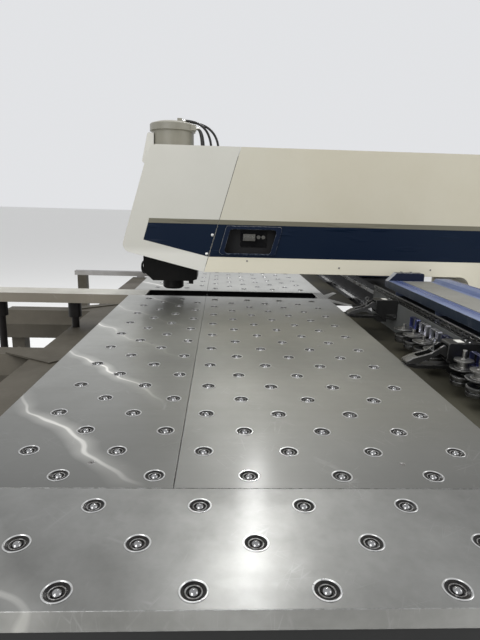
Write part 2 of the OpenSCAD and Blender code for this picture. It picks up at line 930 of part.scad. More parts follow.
// Crossbeam that carries the wings and the tool rail
module crossbeam() {
    nut_y = beam_y + 80;
    w = beam_wall;
    color([0.35, 0.36, 0.38]) {
        difference() {
            block([-wing_reach, beam_y, beam_low], [wing_reach, beam_y + beam_d, beam_high]);
            block(
                [-wing_reach + w, beam_y + w, beam_low + w],
                [wing_reach - w, beam_y + beam_d - w, beam_high - w]
            );
        }
        difference() {
            block([-40, nut_y, screw_z - 24], [40, nut_y + 80, beam_low]);
            translate([0, nut_y - 1, screw_z]) rotate([-90, 0, 0])
                cylinder(h = 82, r = screw_r + fit);
        }
    }
}

x_guide_zs = [table_h - 95, table_h + 50];
x_guide_h = 30;
x_guide_w = 28;

module x_guide_rails() {
    color("silver") for (z = x_guide_zs)
        block(
            [-wing_reach + 60, beam_y - x_guide_h, z - x_guide_w / 2],
            [wing_reach - 60, beam_y, z + x_guide_w / 2]
        );
}

// Hoods over the crossbeam, one on each side of the arm
hood_front = beam_y - 60;
hood_back = beam_y + beam_d + 30;
hood_edge = 100;
hood_skirt = 50;
plate_back = beam_y + 240;
ridge_front = plate_back + 40;

module beam_hoods() {
    z1 = table_h + hood_high;
    inner = [
        [hood_front + 4, z1 - hood_skirt - 1], [hood_front + 4, z1 - 3],
        [hood_back - 4, z1 - 3], [hood_back - 4, z1 - hood_skirt - 1]
    ];
    outer = rounded([
        [hood_front, z1 - hood_skirt, 0], [hood_back, z1 - hood_skirt, 0],
        [hood_back, z1, 0], [hood_back - 12, z1 + 22, 10],
        [ridge_front + 12, z1 + 22, 10], [ridge_front, z1, 0], [hood_front, z1, 0]
    ]);
    color("darkslateblue") both_sides() {
        difference() {
            along_x(hood_end, wing_reach) polygon(outer);
            along_x(hood_end - 1, wing_reach + 1) polygon(inner);
        }
        for (x = [hood_end + 20 : (wing_reach - hood_end - 60) / 4 : wing_reach - 30])
            block([x, hood_front + 60, beam_high], [x + 8, hood_back - 60, z1 - 3]);
    }
}

module hood_plates() {
    z1 = table_h + hood_high;
    color("tan") both_sides()
        block([hood_end + 30, hood_front + hood_edge, z1], [wing_reach - 10, plate_back, z1 + 3]);
}

// Block with a sloping front edge on the inner end of each hood
module hood_ends() {
    z1 = table_h + hood_high;
    color("midnightblue") both_sides() along_x(hood_end - 60, hood_end) polygon(rounded([
        [hood_front + 2, z1 - hood_skirt, 0], [plate_back - 32, z1 - hood_skirt, 0],
        [plate_back - 32, z1 + 56, 14], [hood_front + 62, z1 + 56, 8], [hood_front + 2, z1 - 6, 6]
    ]));
}

// Welded frames under the table sheets
member_w = 50;
panel_x0 = wing_gap / 2;
panel_x1 = wing_reach - end_panel;
member_ys = [27.5, 402.5, 902.5];
cross_x0 = panel_x0 + 35;
cross_x1 = panel_x1 - 43;
inner_xs = [for (k = [0:5]) cross_x0 + (cross_x1 - cross_x0) * k / 5];
cross_xs = concat(inner_xs, [side_x, wing_reach - 50]);
arm_xs = [inner_xs[1], inner_xs[3], inner_xs[5], wing_reach - 50];

module wing_frames() {
    z1 = table_h - sheet_t;
    z2 = table_h - lip_h - 3;
    z3 = z2 - 60;
    color("gray") both_sides() {
        for (y = concat([-wing_front + 40], member_ys, [wing_rear - 60])) {
            tube_x(
                [panel_x0 + 10, y - member_w / 2, z2],
                [panel_x1 - seam_w - sheet_t - 4, y + member_w / 2, z1], 4
            );
            tube_x(
                [panel_x1 + sheet_t + 4, y - member_w / 2, z2],
                [wing_reach - 10, y + member_w / 2, z1], 4
            );
        }
        for (x = cross_xs)
            tube_y([x - 25, -wing_front + 12, z3], [x + 25, wing_rear - 10, z2], 4);
        for (x = arm_xs)
            along_x(x - 25, x + 25) polygon([
                [wing_rear - 350, z3 - 40], [wing_rear, beam_low], [beam_y, beam_low],
                [beam_y, rail_low - 12], [rail_y - 40, rail_low - 12], [rail_y - 40, z3],
                [wing_rear - 350, z3]
            ]);
    }
}

// Folded panels of the table, open below, with a hole for each ball unit
function in_range(v, lo, hi) = v > lo && v < hi;
first_row = wing_reach - 44;
ball_rows = floor((first_row - panel_x0 - 134) / row_pitch);
even_y = -160;
odd_y = -35;

function ball_xy() = [
    for (i = [0:ball_rows])
        let (x = first_row - row_pitch * i, even = i % 2 == 0)
            for (k = [0:(even ? 5 : 4)]) [x, (even ? even_y : odd_y) + ball_pitch * k]
];

screw_xy = [for (x = [panel_x0 + 220, 1500, panel_x1 - 125], y = [33, 903]) [x, y]];

module tray(x0, x1, y0, y1) {
    difference() {
        block([x0, y0, table_h - lip_h], [x1, y1, table_h]);
        block(
            [x0 + sheet_t, y0 + sheet_t, table_h - lip_h - 1],
            [x1 - sheet_t, y1 - sheet_t, table_h - sheet_t]
        );
        for (p = ball_xy())
            if (in_range(p[0], x0, x1) && in_range(p[1], y0, y1))
                post(p[0], p[1], table_h - sheet_t - 1, table_h + 1, cup_d / 2 + 0.2);
        for (p = screw_xy)
            if (in_range(p[0], x0, x1) && in_range(p[1], y0, y1))
                post(p[0], p[1], table_h - sheet_t - 1, table_h + 1, 9);
    }
}

module table_left_panels() {
    color("silver") both_sides()
        tray(panel_x0, panel_x1 - seam_w, -wing_front, wing_seam - seam_w / 2);
}

module table_right_panels() {
    color("silver") both_sides()
        tray(panel_x0, panel_x1 - seam_w, wing_seam + seam_w / 2, wing_rear);
}

module table_end_panels() {
    color("silver") both_sides() tray(panel_x1, wing_reach, -wing_front, wing_rear);
}

// Ball units: pressed cup with a bright rim, and the ball that turns in it
module ball_cup() {
    r = ball_d / 2;
    c = cup_d / 2;
    z_ball = ball_rise - r;
    rotate_extrude() polygon([
        [0, z_ball - r - 6], [c, z_ball - r - 6], [c, 0], [rim_d / 2, 0],
        [rim_d / 2, 0.8], [rim_d / 2 - 1, 1.5], [c + 1, 1.5], [c, 0.4], [r + 2, -4.4],
        [r + gap, -4.8], [r + gap, z_ball - r - gap], [0, z_ball - r - gap]
    ]);
}

module ball_cups() {
    color("dimgray") both_sides() for (p = ball_xy())
        translate([p[0], p[1], table_h]) ball_cup();
}

module balls() {
    color("white") both_sides() for (p = ball_xy())
        translate([p[0], p[1], table_h + ball_rise - ball_d / 2]) sphere(d = ball_d);
}

module table_screws() {
    color("gray") both_sides() for (p = screw_xy)
        difference() {
            post(p[0], p[1], table_h - sheet_t, table_h, 8.6);
            translate([p[0], p[1], table_h - 2]) cylinder(h = 3, r = 4.5, $fn = 6);
        }
}

// Plates under the tools, between the wings and the crossbeam
module tool_aprons() {
    z = table_h - lip_h - 63;
    color([0.5, 0.47, 0.42]) both_sides() difference() {
        block([wing_gap / 2, wing_rear + 5, z], [wing_reach - 20, rail_y - 10, z + 3]);
        for (x = [400 : 300 : wing_reach - 300])
            along_z(z - 1, z + 4) polygon(rounded([
                [x, wing_rear + 70, 12], [x + 120, wing_rear + 70, 12],
                [x + 120, wing_rear + 110, 12], [x, wing_rear + 110, 12]
            ]));
    }
}

// Bridging plate at the rear end of the slot, with the two arms of its V-shaped mouth
v_spread = 170;
v_reach = 160;

module gap_plate() {
    w = wing_gap / 2 - 2;
    y0 = wing_rear - 80;
    z_bar = table_h - lip_h - 3;
    z_v = table_h - 24;
    color("lightgray") {
        block([-w, y0, table_h - 3], [w, wing_rear, table_h]);
        block([-w, wing_rear - 4, z_v], [w, wing_rear, table_h]);
        along_z(z_v, z_v + 3) polygon([
            [-w, wing_rear - 4], [w, wing_rear - 4], [w, wing_rear + 2],
            [w + v_spread, wing_rear + v_reach - 22], [w + v_spread - 36, wing_rear + v_reach],
            [0, wing_rear + 18], [-w - v_spread + 36, wing_rear + v_reach],
            [-w - v_spread, wing_rear + v_reach - 22], [-w, wing_rear + 2]
        ]);
        block([-w - 12, y0 + 20, z_bar - 8], [w + 12, y0 + 60, z_bar]);
        for (x = [-80, 80]) block([x - 10, y0 + 20, z_bar], [x + 10, y0 + 60, table_h - 3]);
    }
}

// Rollers that carry the wings on the side rails
roller_ys = [-200, 1100];
roller_z = side_rail_h + roller_r + gap;

module roller_brackets() {
    z_top = table_h - lip_h - 63;
    color("gray") both_sides() for (y = roller_ys)
        union() {
            for (s = [-1, 1])
                block([side_x + s * 26 - 4, y - 25, roller_z - 20], [side_x + s * 26 + 4, y + 25, z_top]);
            translate([side_x - 30, y, roller_z]) rotate([0, 90, 0]) cylinder(h = 60, r = 8);
        }
}

module roller(side, y) {
    color("darkgray") translate([side * side_x - 21, y, roller_z]) rotate([0, 90, 0])
        difference() {
            cylinder(h = 42, r = roller_r);
            translate([0, 0, -1]) cylinder(h = 44, r = 8 + fit);
        }
}

module roller_near_front() { roller(1, roller_ys[0]); }
module roller_near_rear() { roller(1, roller_ys[1]); }
module roller_far_front() { roller(-1, roller_ys[0]); }
module roller_far_rear() { roller(-1, roller_ys[1]); }

// Sliding rail with its perforated strip
rail_low = table_h - 130;
rail_top = table_h + 90;
strip_top = table_h + 135;
slide_w = 64;

module rail_beam() {
    x1 = rail_start + rail_len;
    h = slide_w / 2;
    color([0.4, 0.4, 0.38]) {
        block([rail_start, rail_y, rail_low], [x1, rail_y + rail_t, rail_top]);
        for (z = x_guide_zs, x = [rail_start + 60, rail_start + rail_len / 2 - 70, x1 - 200])
            difference() {
                block([x, rail_y + rail_t, z - h], [x + 140, beam_y - 5, z + h]);
                block(
                    [x - 1, beam_y - x_guide_h - gap, z - x_guide_w / 2 - gap],
                    [x + 141, beam_y, z + x_guide_w / 2 + gap]
                );
            }
    }
}

slot_pitch = 58;
slot_len = 34;
slot_h = 9;

module rail_strip() {
    x1 = rail_start + rail_len;
    color("silver") {
        difference() {
            block([rail_start, rail_y + 2, rail_top], [x1, rail_y + 7, strip_top]);
            for (row = [0, 1], x = [rail_start + 16 + row * slot_pitch / 2 : slot_pitch : x1 - slot_len - 12])
                translate([x, rail_y, rail_top + 9 + 17 * row]) cube([slot_len, 10, slot_h]);
        }
        block([rail_start, rail_y + 2, strip_top - 3], [x1, rail_y + 14, strip_top]);
    }
}

// Workpiece clamps: body with the lower jaw, and the forked upper jaw
clamp_half = 45;
jaw_half = 34;
pivot_y = rail_y - 130;
pivot_rise = 62;
pin_r = 7;
fork_half = 23;
clamp_xs = [for (k = [0:2]) clamp_x + clamp_pitch * k];

module clamp_body() {
    z = table_h;
    y0 = pivot_y - 20;
    difference() {
        union() {
            along_x(-clamp_half, clamp_half) polygon(rounded([
                [y0, z + 36, 4], [y0 + 34, z + 4, 6], [rail_y - 85, z - 20, 6],
                [rail_y, z - 20, 0], [rail_y, z + 112, 0], [y0, z + 112, 10]
            ]));
            along_x(-30, 30) polygon([
                [wing_rear + 2, z - 3], [wing_rear + 40, z - 14], [pivot_y - 15, z - 16],
                [pivot_y + 5, z - 40], [rail_y - 65, z - 40], [rail_y - 65, z + 3],
                [wing_rear + 2, z + 3]
            ]);
        }
        along_x(-jaw_half - 1, jaw_half + 1) polygon([
            [y0 - 1, z + 20], [pivot_y + 32, z + 20], [pivot_y + 32, z + 100], [y0 - 1, z + 100]
        ]);
        along_x(-clamp_half - 1, clamp_half + 1) polygon(rounded([
            [rail_y - 74, z - 8, 4], [rail_y - 10, z - 8, 4],
            [rail_y - 10, z + 14, 4], [rail_y - 74, z + 14, 4]
        ]));
        for (x = [-20, 20])
            post(x, rail_y - 40, z + 60, z + 113, 6);
    }
    translate([-clamp_half, pivot_y, z + pivot_rise]) rotate([0, 90, 0])
        cylinder(h = 2 * clamp_half, r = pin_r);
}

module clamp_bodies() {
    color("dimgray") for (x = clamp_xs) translate([x, 0, 0]) clamp_body();
}

module clamp_jaw(k) {
    z = table_h;
    y0 = wing_rear + 2;
    eye_y = pivot_y - 70;
    color("slategray") translate([clamp_xs[k], 0, 0]) difference() {
        union() {
            difference() {
                along_x(-jaw_half, jaw_half) polygon(rounded([
                    [y0, z + 9, 2], [y0 + 48, z + 9, 10], [y0 + 106, z + 36, 20],
                    [pivot_y - 48, z + 60, 10], [pivot_y - 26, z + 44, 8],
                    [pivot_y + 20, z + 44, 14], [pivot_y + 20, z + 80, 14],
                    [pivot_y - 16, z + 88, 6], [pivot_y - 34, z + 100, 8],
                    [pivot_y - 92, z + 60, 20], [y0 + 30, z + 36, 12], [y0, z + 18, 2]
                ]));
                along_z(z, z + 120) polygon(rounded([
                    [-fork_half, y0 + 50, 12], [fork_half, y0 + 50, 12],
                    [fork_half, pivot_y + 40, 0], [-fork_half, pivot_y + 40, 0]
                ]));
            }
            translate([-fork_half - 1, eye_y, z + 62]) rotate([0, 90, 0])
                cylinder(h = 2 * fork_half + 2, r = 6);
            post(0, eye_y, z + 62, z + 102, 5);
            translate([-4, eye_y, z + 112]) rotate([0, 90, 0]) cylinder(h = 8, r = 14);
        }
        translate([-5, eye_y, z + 112]) rotate([0, 90, 0]) cylinder(h = 10, r = 8);
        translate([-jaw_half - 1, pivot_y, z + pivot_rise]) rotate([0, 90, 0])
            cylinder(h = 2 * jaw_half + 2, r = pin_r + fit);
    }
}

module clamp_jaw_1() { clamp_jaw(0); }
module clamp_jaw_2() { clamp_jaw(1); }
module clamp_jaw_3() { clamp_jaw(2); }

// Tool cassettes on the rail, each with a punch, a stripper ring and a die
tool_y = rail_y - 115;
tools_a_xs = [for (k = [0:3]) tools_a + tool_pitch * k];
tools_b_xs = [for (k = [0:4]) tools_b + tool_pitch * k];
tool_xs = concat(tools_a_xs, tools_b_xs);
ring_out = 57;
ring_in = 50;
ring_rise = 24;
die_r = 50;
die_rise = -8;
die_h = 44;
stem_r = 9;

// Fork that a tool is pushed into, open to the front
module tool_fork(r, z, t, reach) {
    along_z(z, z + t) difference() {
        polygon(rounded([
            [-40, tool_y - reach, 8], [40, tool_y - reach, 8], [22, rail_y - 28, 0], [-22, rail_y - 28, 0]
        ]));
        translate([0, tool_y]) circle(r = r);
        translate([-r, tool_y - 100]) square([2 * r, 100]);
    }
}

module tool_cassettes() {
    z = table_h;
    color([0.15, 0.15, 0.15]) for (x = tool_xs) translate([x, 0, 0]) {
        along_z(z - 62, z + 44) polygon(rounded([
            [-28, rail_y - 30, 6], [28, rail_y - 30, 6], [28, rail_y, 0], [-28, rail_y, 0]
        ]));
        tool_fork(36, z + ring_rise - 12, 8, -8);
        tool_fork(38, z + die_rise - die_h / 2 - 3, 6, -4);
    }
}

// Spring clip that bridges each cassette, bent from one strip
clip_half = 51;
clip_foot = ring_rise + 4;
clip_top = 90;
clip_t = 3;
clip_y0 = rail_y - 66;
clip_y1 = rail_y - 42;

module cassette_clips() {
    z = table_h;
    c = clip_half - clip_t;
    top = clip_top - clip_t;
    color("silver") for (x = tool_xs) translate([x, 0, 0]) {
        along_y(clip_y0, clip_y1) difference() {
            polygon(rounded([
                [-clip_half, z + clip_foot, 0], [clip_half, z + clip_foot, 0],
                [clip_half, z + clip_top, 8], [-clip_half, z + clip_top, 8]
            ]));
            polygon(rounded([[-c, z, 0], [c, z, 0], [c, z + top, 5], [-c, z + top, 5]]));
        }
        block([-clip_half, clip_y0, z + clip_foot], [clip_half, rail_y - 30, z + clip_foot + clip_t]);
        block([-24, clip_y1 - clip_t, z + clip_foot], [24, clip_y1, z + clip_top - 1]);
    }
}

// Short punches stand in the first group, long ones with a shank in the second
module punches() {
    z = table_h + ring_rise;
    color("silver") {
        for (x = tools_a_xs) translate([x, tool_y, 0]) rotate_extrude() polygon([
            [0, z - 16], [22, z - 16], [24, z - 12], [24, z], [36, z], [36, z + 4],
            [stem_r + 4, z + 6], [stem_r, z + 8], [stem_r, z + 30], [0, z + 32]
        ]);
        for (x = tools_b_xs) translate([x, tool_y, 0]) rotate_extrude() polygon([
            [0, z - 16], [22, z - 16], [24, z - 12], [24, z], [36, z], [36, z + 4],
            [24, z + 6], [24, z + 30], [42, z + 31], [42, z + 39], [14, z + 41],
            [10, z + 44], [10, z + 80], [7, z + 84], [0, z + 84]
        ]);
    }
}

module stripper_rings() {
    z = table_h + ring_rise;
    color("gray") for (x = tool_xs) translate([x, tool_y, 0]) rotate_extrude() polygon([
        [36 + gap, z], [ring_in, z], [ring_in, z - 4], [ring_out, z - 4],
        [ring_out, z + 2], [ring_out - 2, z + 3], [ring_in, z + 3], [36 + gap, z + 1.5]
    ]);
}

module dies() {
    z = table_h + die_rise;
    color("darkgray") for (x = tool_xs) translate([x, tool_y, 0]) rotate_extrude() polygon([
        [14, z - die_h], [die_r - 5, z - die_h], [die_r - 2, z - die_h + 3],
        [die_r - 2, z - die_h / 2 - 4], [38, z - die_h / 2 - 3], [38, z - die_h / 2 + 3],
        [die_r, z - die_h / 2 + 4], [die_r, z - 4], [die_r - 4, z], [20, z], [14, z - 4]
    ]);
}

c_frame();
machine_feet();
nose_cover();
arm_panel_near();
arm_panel_far();
arm_roof();
throat_liner();
rear_cover();
trim_bands();
trim_stripes();
window_frame();
valve_block();
head_cylinder();
head_hoses();
hump_cover();
head_casting();
lower_housing();
y_guide_rails();
y_motor();
centre_beam();
beam_posts();
front_girder();
side_legs();
side_rails();
upper_rotor();
ram();
stripper();
lower_rotor();
y_screw();
crossbeam();
y_guide_blocks();
x_guide_rails();
beam_hoods();
hood_plates();
hood_ends();
wing_frames();
table_left_panels();
table_right_panels();
table_end_panels();
ball_cups();
balls();
table_screws();
tool_aprons();
gap_plate();
roller_brackets();
roller_near_front();
roller_near_rear();
roller_far_front();
roller_far_rear();
rail_beam();
rail_strip();
clamp_bodies();
clamp_jaw_1();
clamp_jaw_2();
clamp_jaw_3();
tool_cassettes();
cassette_clips();
punches();
stripper_rings();
dies();
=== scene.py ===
# %% [markdown]
# # Dressing a punch press
# The solids of this machine come from its CAD source and are loaded here as a fixed
# frame. This lesson never moves them. It gives each surface the finish that the real
# machine has, adds the small things that are too fine for the source, and lights the
# machine in a plain studio.

# %% Load the machine
import json
import math

import bmesh
import bpy
from mathutils import Matrix, Vector


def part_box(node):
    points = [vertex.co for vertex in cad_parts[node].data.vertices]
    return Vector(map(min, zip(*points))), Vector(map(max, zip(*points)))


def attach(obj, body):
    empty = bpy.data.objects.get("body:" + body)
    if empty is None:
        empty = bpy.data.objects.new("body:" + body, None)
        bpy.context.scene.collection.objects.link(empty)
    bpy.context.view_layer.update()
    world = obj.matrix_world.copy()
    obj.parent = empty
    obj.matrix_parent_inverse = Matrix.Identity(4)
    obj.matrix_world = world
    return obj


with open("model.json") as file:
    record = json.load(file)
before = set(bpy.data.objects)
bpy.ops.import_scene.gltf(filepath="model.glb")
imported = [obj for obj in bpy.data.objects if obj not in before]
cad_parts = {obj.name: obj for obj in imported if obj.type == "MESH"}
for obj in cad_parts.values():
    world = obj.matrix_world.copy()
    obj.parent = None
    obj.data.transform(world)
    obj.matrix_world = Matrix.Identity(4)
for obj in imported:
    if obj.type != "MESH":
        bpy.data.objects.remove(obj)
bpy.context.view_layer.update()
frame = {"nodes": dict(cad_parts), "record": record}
nodes = frame["nodes"]

# %% [markdown]
# ## The camera
# The photo was taken at eye level, from beyond the end of the table wing and along it.
# The place and the angles were found by fitting points of the machine to the photo, so
# they are set as numbers here. A camera in Blender looks along its own -Z axis. Its
# matrix is built from three directions: right, up and backwards.

# %% Camera at eye level, past the end of the wing
EYE = Vector((3.90, 0.379, 1.594))
PITCH = math.radians(13.16)
YAW = math.radians(2.52)
ROLL = math.radians(1.57)

ahead = Vector((
    -math.cos(YAW) * math.cos(PITCH),
    math.sin(YAW) * math.cos(PITCH),
    -math.sin(PITCH),
))
level = Vector((math.sin(YAW), math.cos(YAW), 0))
upright = level.cross(ahead)
right = math.cos(ROLL) * level + math.sin(ROLL) * upright
up = math.cos(ROLL) * upright - math.sin(ROLL) * level

eye = bpy.data.cameras.new("eye")
eye.lens = 27
eye.sensor_width = 36
eye.clip_end = 400
camera = bpy.data.objects.new("eye", eye)
camera.matrix_world = Matrix.Translation(EYE) @ Matrix((right, up, -ahead)).transposed().to_4x4()
bpy.context.scene.collection.objects.link(camera)
bpy.context.scene.camera = camera
print("camera looks along", [round(c, 3) for c in ahead])

# %% [markdown]
# ## Helpers for shaders
# A material is a tree of nodes. These helpers add one node each and give back the
# socket that the next node needs, so that a finish below reads like a formula.

# %% Add a node and fill its inputs
def fill(tree, node, inputs):
    """Gives each named input of a node a value, or links an output socket to it."""
    for name, value in inputs.items():
        if isinstance(value, bpy.types.NodeSocket):
            tree.links.new(value, node.inputs[name])
        else:
            node.inputs[name].default_value = value
    return node


def add(tree, kind, inputs=None, **settings):
    """A new node with its settings and its inputs."""
    node = tree.nodes.new(kind)
    for name, value in settings.items():
        setattr(node, name, value)
    return fill(tree, node, inputs or {})


def rgb(r, g, b):
    return (r, g, b, 1.0)


def mix(tree, share, first, second):
    """A colour between two others."""
    node = add(tree, "ShaderNodeMix", {"Factor": share, 6: first, 7: second}, data_type="RGBA")
    return node.outputs[2]


print("helpers ready:", fill.__name__, add.__name__, rgb.__name__, mix.__name__)

# %% Numbers, vectors and reliefs
def maths(tree, operation, first, *others, clamp=False):
    """One number worked out from two or more."""
    for other in others:
        node = add(tree, "ShaderNodeMath", {0: first, 1: other}, operation=operation, use_clamp=clamp)
        first = node.outputs[0]
    return first


def ramp(tree, value, low, high, start=0.0, end=1.0):
    """A number that goes from start to end while value goes from low to high."""
    return add(tree, "ShaderNodeMapRange", {
        "Value": value, "From Min": low, "From Max": high, "To Min": start, "To Max": end,
    }).outputs["Result"]


def noise(tree, vector, scale, detail=2.0, roughness=0.5):
    """A noise around one half."""
    return add(tree, "ShaderNodeTexNoise", {
        "Vector": vector, "Scale": scale, "Detail": detail, "Roughness": roughness,
    }).outputs["Fac"]


def scaled(tree, vector, factors):
    """A vector with each of its parts multiplied."""
    return add(tree, "ShaderNodeVectorMath", {0: vector, 1: factors}, operation="MULTIPLY").outputs[0]


def measured(tree, vector, direction):
    """How far a vector reaches along a direction."""
    node = add(tree, "ShaderNodeVectorMath", {0: vector, 1: direction}, operation="DOT_PRODUCT")
    return node.outputs["Value"]


def relief(tree, height, strength, distance, normal):
    """The normal of a surface with a fine relief."""
    return add(tree, "ShaderNodeBump", {
        "Strength": strength, "Distance": distance, "Height": height, "Normal": normal,
    }).outputs["Normal"]


print("helpers ready:", maths.__name__, ramp.__name__, noise.__name__, relief.__name__)

# %% [markdown]
# ## The studio
# Bare steel shows its surroundings, so the room matters as much as the lamps. The
# large overhead lamp is hidden from mirror rays, or half the table would be white. Floor
# and sky are pale where the camera or a mirror ray sees them, and weaker as a source of
# light. The Light Path node tells these rays apart. The machine keeps its shadow on the
# floor, because the floor's own colour is still lit by the lamps.

# %% How strongly a ray of each kind sees the room
def seen_or_lit(tree, seen, lit):
    """One value for rays that look or mirror, another for rays that bring light."""
    ray = add(tree, "ShaderNodeLightPath").outputs
    looks = maths(
        tree, "MAXIMUM", ray["Is Camera Ray"], ray["Is Glossy Ray"], ray["Is Transmission Ray"])
    return ramp(tree, looks, 0.0, 1.0, lit, seen)


print("helper ready:", seen_or_lit.__name__)

# %% Pale floor
FLOOR_REACH = 150
FLOOR_DROP = 0.001


def flat_square(name, half, z):
    mesh = bpy.data.meshes.new(name)
    corners = [(-half, -half, z), (half, -half, z), (half, half, z), (-half, half, z)]
    mesh.from_pydata(corners, [], [(0, 1, 2, 3)])
    square = bpy.data.objects.new(name, mesh)
    bpy.context.scene.collection.objects.link(square)
    return square


floor = flat_square("studio_floor", FLOOR_REACH, -FLOOR_DROP)
floor_paint = bpy.data.materials.new("studio_floor")
floor_paint.use_nodes = True
fill(floor_paint.node_tree, floor_paint.node_tree.nodes["Principled BSDF"], {
    "Base Color": rgb(0.72, 0.72, 0.71), "Roughness": 0.9, "Specular IOR Level": 0.1,
    "Emission Color": rgb(1.0, 1.0, 0.99),
    "Emission Strength": seen_or_lit(floor_paint.node_tree, 0.22, 0.0),
})
floor.data.materials.append(floor_paint)
print("floor half side:", FLOOR_REACH, "m")

# %% World and soft lamps
world = bpy.data.worlds.new("studio")
bpy.context.scene.world = world
world.use_nodes = True
fill(world.node_tree, world.node_tree.nodes["Background"], {
    "Color": rgb(0.80, 0.81, 0.83), "Strength": seen_or_lit(world.node_tree, 0.95, 0.62),
})


def soft_lamp(name, place, target, width, depth, watts):
    """A rectangular lamp that faces a point."""
    data = bpy.data.lights.new(name, "AREA")
    data.shape = "RECTANGLE"
    data.size = width
    data.size_y = depth
    data.energy = watts
    lamp = bpy.data.objects.new(name, data)
    lamp.location = place
    lamp.rotation_euler = (Vector(target) - Vector(place)).to_track_quat("-Z", "Y").to_euler()
    bpy.context.scene.collection.objects.link(lamp)
    return lamp


MACHINE_MIDDLE = (0.4, 0.6, 1.2)
overhead = soft_lamp("overhead", (0.5, 0.3, 6.5), MACHINE_MIDDLE, 7, 7, 270)
overhead.visible_glossy = False
soft_lamp("over_shoulder", (7.5, -3.5, 4.8), MACHINE_MIDDLE, 4, 4, 240)
soft_lamp("far_side", (3.0, 7.5, 4.5), MACHINE_MIDDLE, 4, 3, 110)
bpy.context.scene.view_settings.view_transform = "Standard"

# %% [markdown]
# One long narrow lamp hangs over the far wing. It adds little light, but the satin sheet
# near the camera mirrors it as one soft upright streak, as the real one mirrors a lamp
# of its hall.

# %% One narrow roof lamp
soft_lamp("roof_lamp", (-2.4, 0.93, 5.2), (2.0, 0.5, 0.9), 0.30, 2.6, 60)

# %% [markdown]
# ## Shared effects
# Some effects come back on many surfaces: uneven tone, brushed grain, scratches, edges
# that are softened and worn, and masks by place. Each is a node group, which is made
# once and placed in every material that needs it. A group only puts out colours, masks,
# heights and normals. The shader stays in the material, because an exporter can't look
# for it inside a group.

# %% Open a group and place it
def new_group(name, inputs, outputs):
    """A node group with named sockets. Each is (name, kind, value)."""
    tree = bpy.data.node_groups.new(name, "ShaderNodeTree")
    for label, kind, value in inputs:
        socket = tree.interface.new_socket(label, in_out="INPUT", socket_type="NodeSocket" + kind)
        if value is not None:
            socket.default_value = value
    for label, kind in outputs:
        tree.interface.new_socket(label, in_out="OUTPUT", socket_type="NodeSocket" + kind)
    start = tree.nodes.new("NodeGroupInput")
    end = tree.nodes.new("NodeGroupOutput")
    return tree, start.outputs, end


def place(tree, group, inputs):
    """Puts a group into a material, fills its inputs and gives back its outputs."""
    return add(tree, "ShaderNodeGroup", inputs, node_tree=group).outputs


print("group helpers ready")

# %% [markdown]
# Paint and sheet are never one colour. Two noises of different size are mixed: a slow
# one for the patches that age and dirt leave, and a fine one that keeps a flat field
# from looking drawn. The mask goes out as well, so that the same patches can also
# change the gloss.

# %% Uneven tone
tone_group, tone_in, tone_end = new_group(
    "uneven tone",
    [("Position", "Vector", None), ("Colour", "Color", None), ("Aged", "Color", None),
     ("Patch size", "Float", 1.5), ("Amount", "Float", 0.5)],
    [("Colour", "Color"), ("Mask", "Float")],
)
slow = noise(tone_group, tone_in["Position"], tone_in["Patch size"], detail=5.0, roughness=0.6)
fine = noise(tone_group, tone_in["Position"], 46.0, detail=3.0, roughness=0.7)
both = maths(
    tone_group, "ADD", ramp(tone_group, slow, 0.36, 0.70), maths(tone_group, "MULTIPLY", fine, 0.25))
share = maths(tone_group, "MULTIPLY", both, tone_in["Amount"], clamp=True)
fill(tone_group, tone_end, {
    "Colour": mix(tone_group, share, tone_in["Colour"], tone_in["Aged"]), "Mask": share,
})
print("group:", tone_group.name, len(tone_group.nodes), "nodes")

# %% [markdown]
# Brushed steel has very long, very thin marks in one direction. Noise that is squeezed
# across the brushing and stretched along it gives them. The height feeds a bump, and
# the mask changes the roughness, which makes the sheen break up as on real sheet.

# %% Brushed grain
grain_group, grain_in, grain_end = new_group(
    "brushed grain",
    [("Position", "Vector", None), ("Stretch", "Vector", (2.0, 300.0, 300.0))],
    [("Height", "Float"), ("Mask", "Float")],
)
squeezed = scaled(grain_group, grain_in["Position"], grain_in["Stretch"])
wide = noise(grain_group, squeezed, 0.12, detail=2.0, roughness=0.5)
fill(grain_group, grain_end, {
    "Height": noise(grain_group, squeezed, 1.0, detail=4.0, roughness=0.75),
    "Mask": ramp(grain_group, wide, 0.35, 0.65),
})
print("group:", grain_group.name, len(grain_group.nodes), "nodes")

# %% [markdown]
# Sheets slide over the table and leave short scratches in every direction. A Voronoi
# texture that is stretched gives thin cell borders, which look like scratches once they
# are cut to their thinnest part. Three turned layers cross each other, and a slow noise
# keeps most areas clean.

# %% Scratches
SCRATCH_LAYERS = ((0.45, 9.0), (-0.8, 12.0), (1.35, 7.0))
SCRATCH_WIDTH = 0.014

scratch_group, scratch_in, scratch_end = new_group(
    "scratches",
    [("Position", "Vector", None), ("Density", "Float", 6.0), ("Coverage", "Float", 0.5)],
    [("Mask", "Float")],
)
layers = []
for turn, squeeze in SCRATCH_LAYERS:
    rotated = add(scratch_group, "ShaderNodeVectorRotate", {
        "Vector": scratch_in["Position"], "Angle": turn,
    }, rotation_type="Z_AXIS")
    cells = add(scratch_group, "ShaderNodeTexVoronoi", {
        "Vector": scaled(scratch_group, rotated.outputs[0], (1.0, squeeze, 1.0)),
        "Scale": scratch_in["Density"],
    }, feature="DISTANCE_TO_EDGE")
    layers.append(ramp(scratch_group, cells.outputs["Distance"], 0.0, SCRATCH_WIDTH, 1.0, 0.0))
fields = noise(scratch_group, scratch_in["Position"], 7.0, detail=3.0, roughness=0.6)
fill(scratch_group, scratch_end, {"Mask": maths(
    scratch_group, "MULTIPLY", maths(scratch_group, "MAXIMUM", *layers),
    ramp(scratch_group, fields, 0.54, 0.68), scratch_in["Coverage"], clamp=True)})
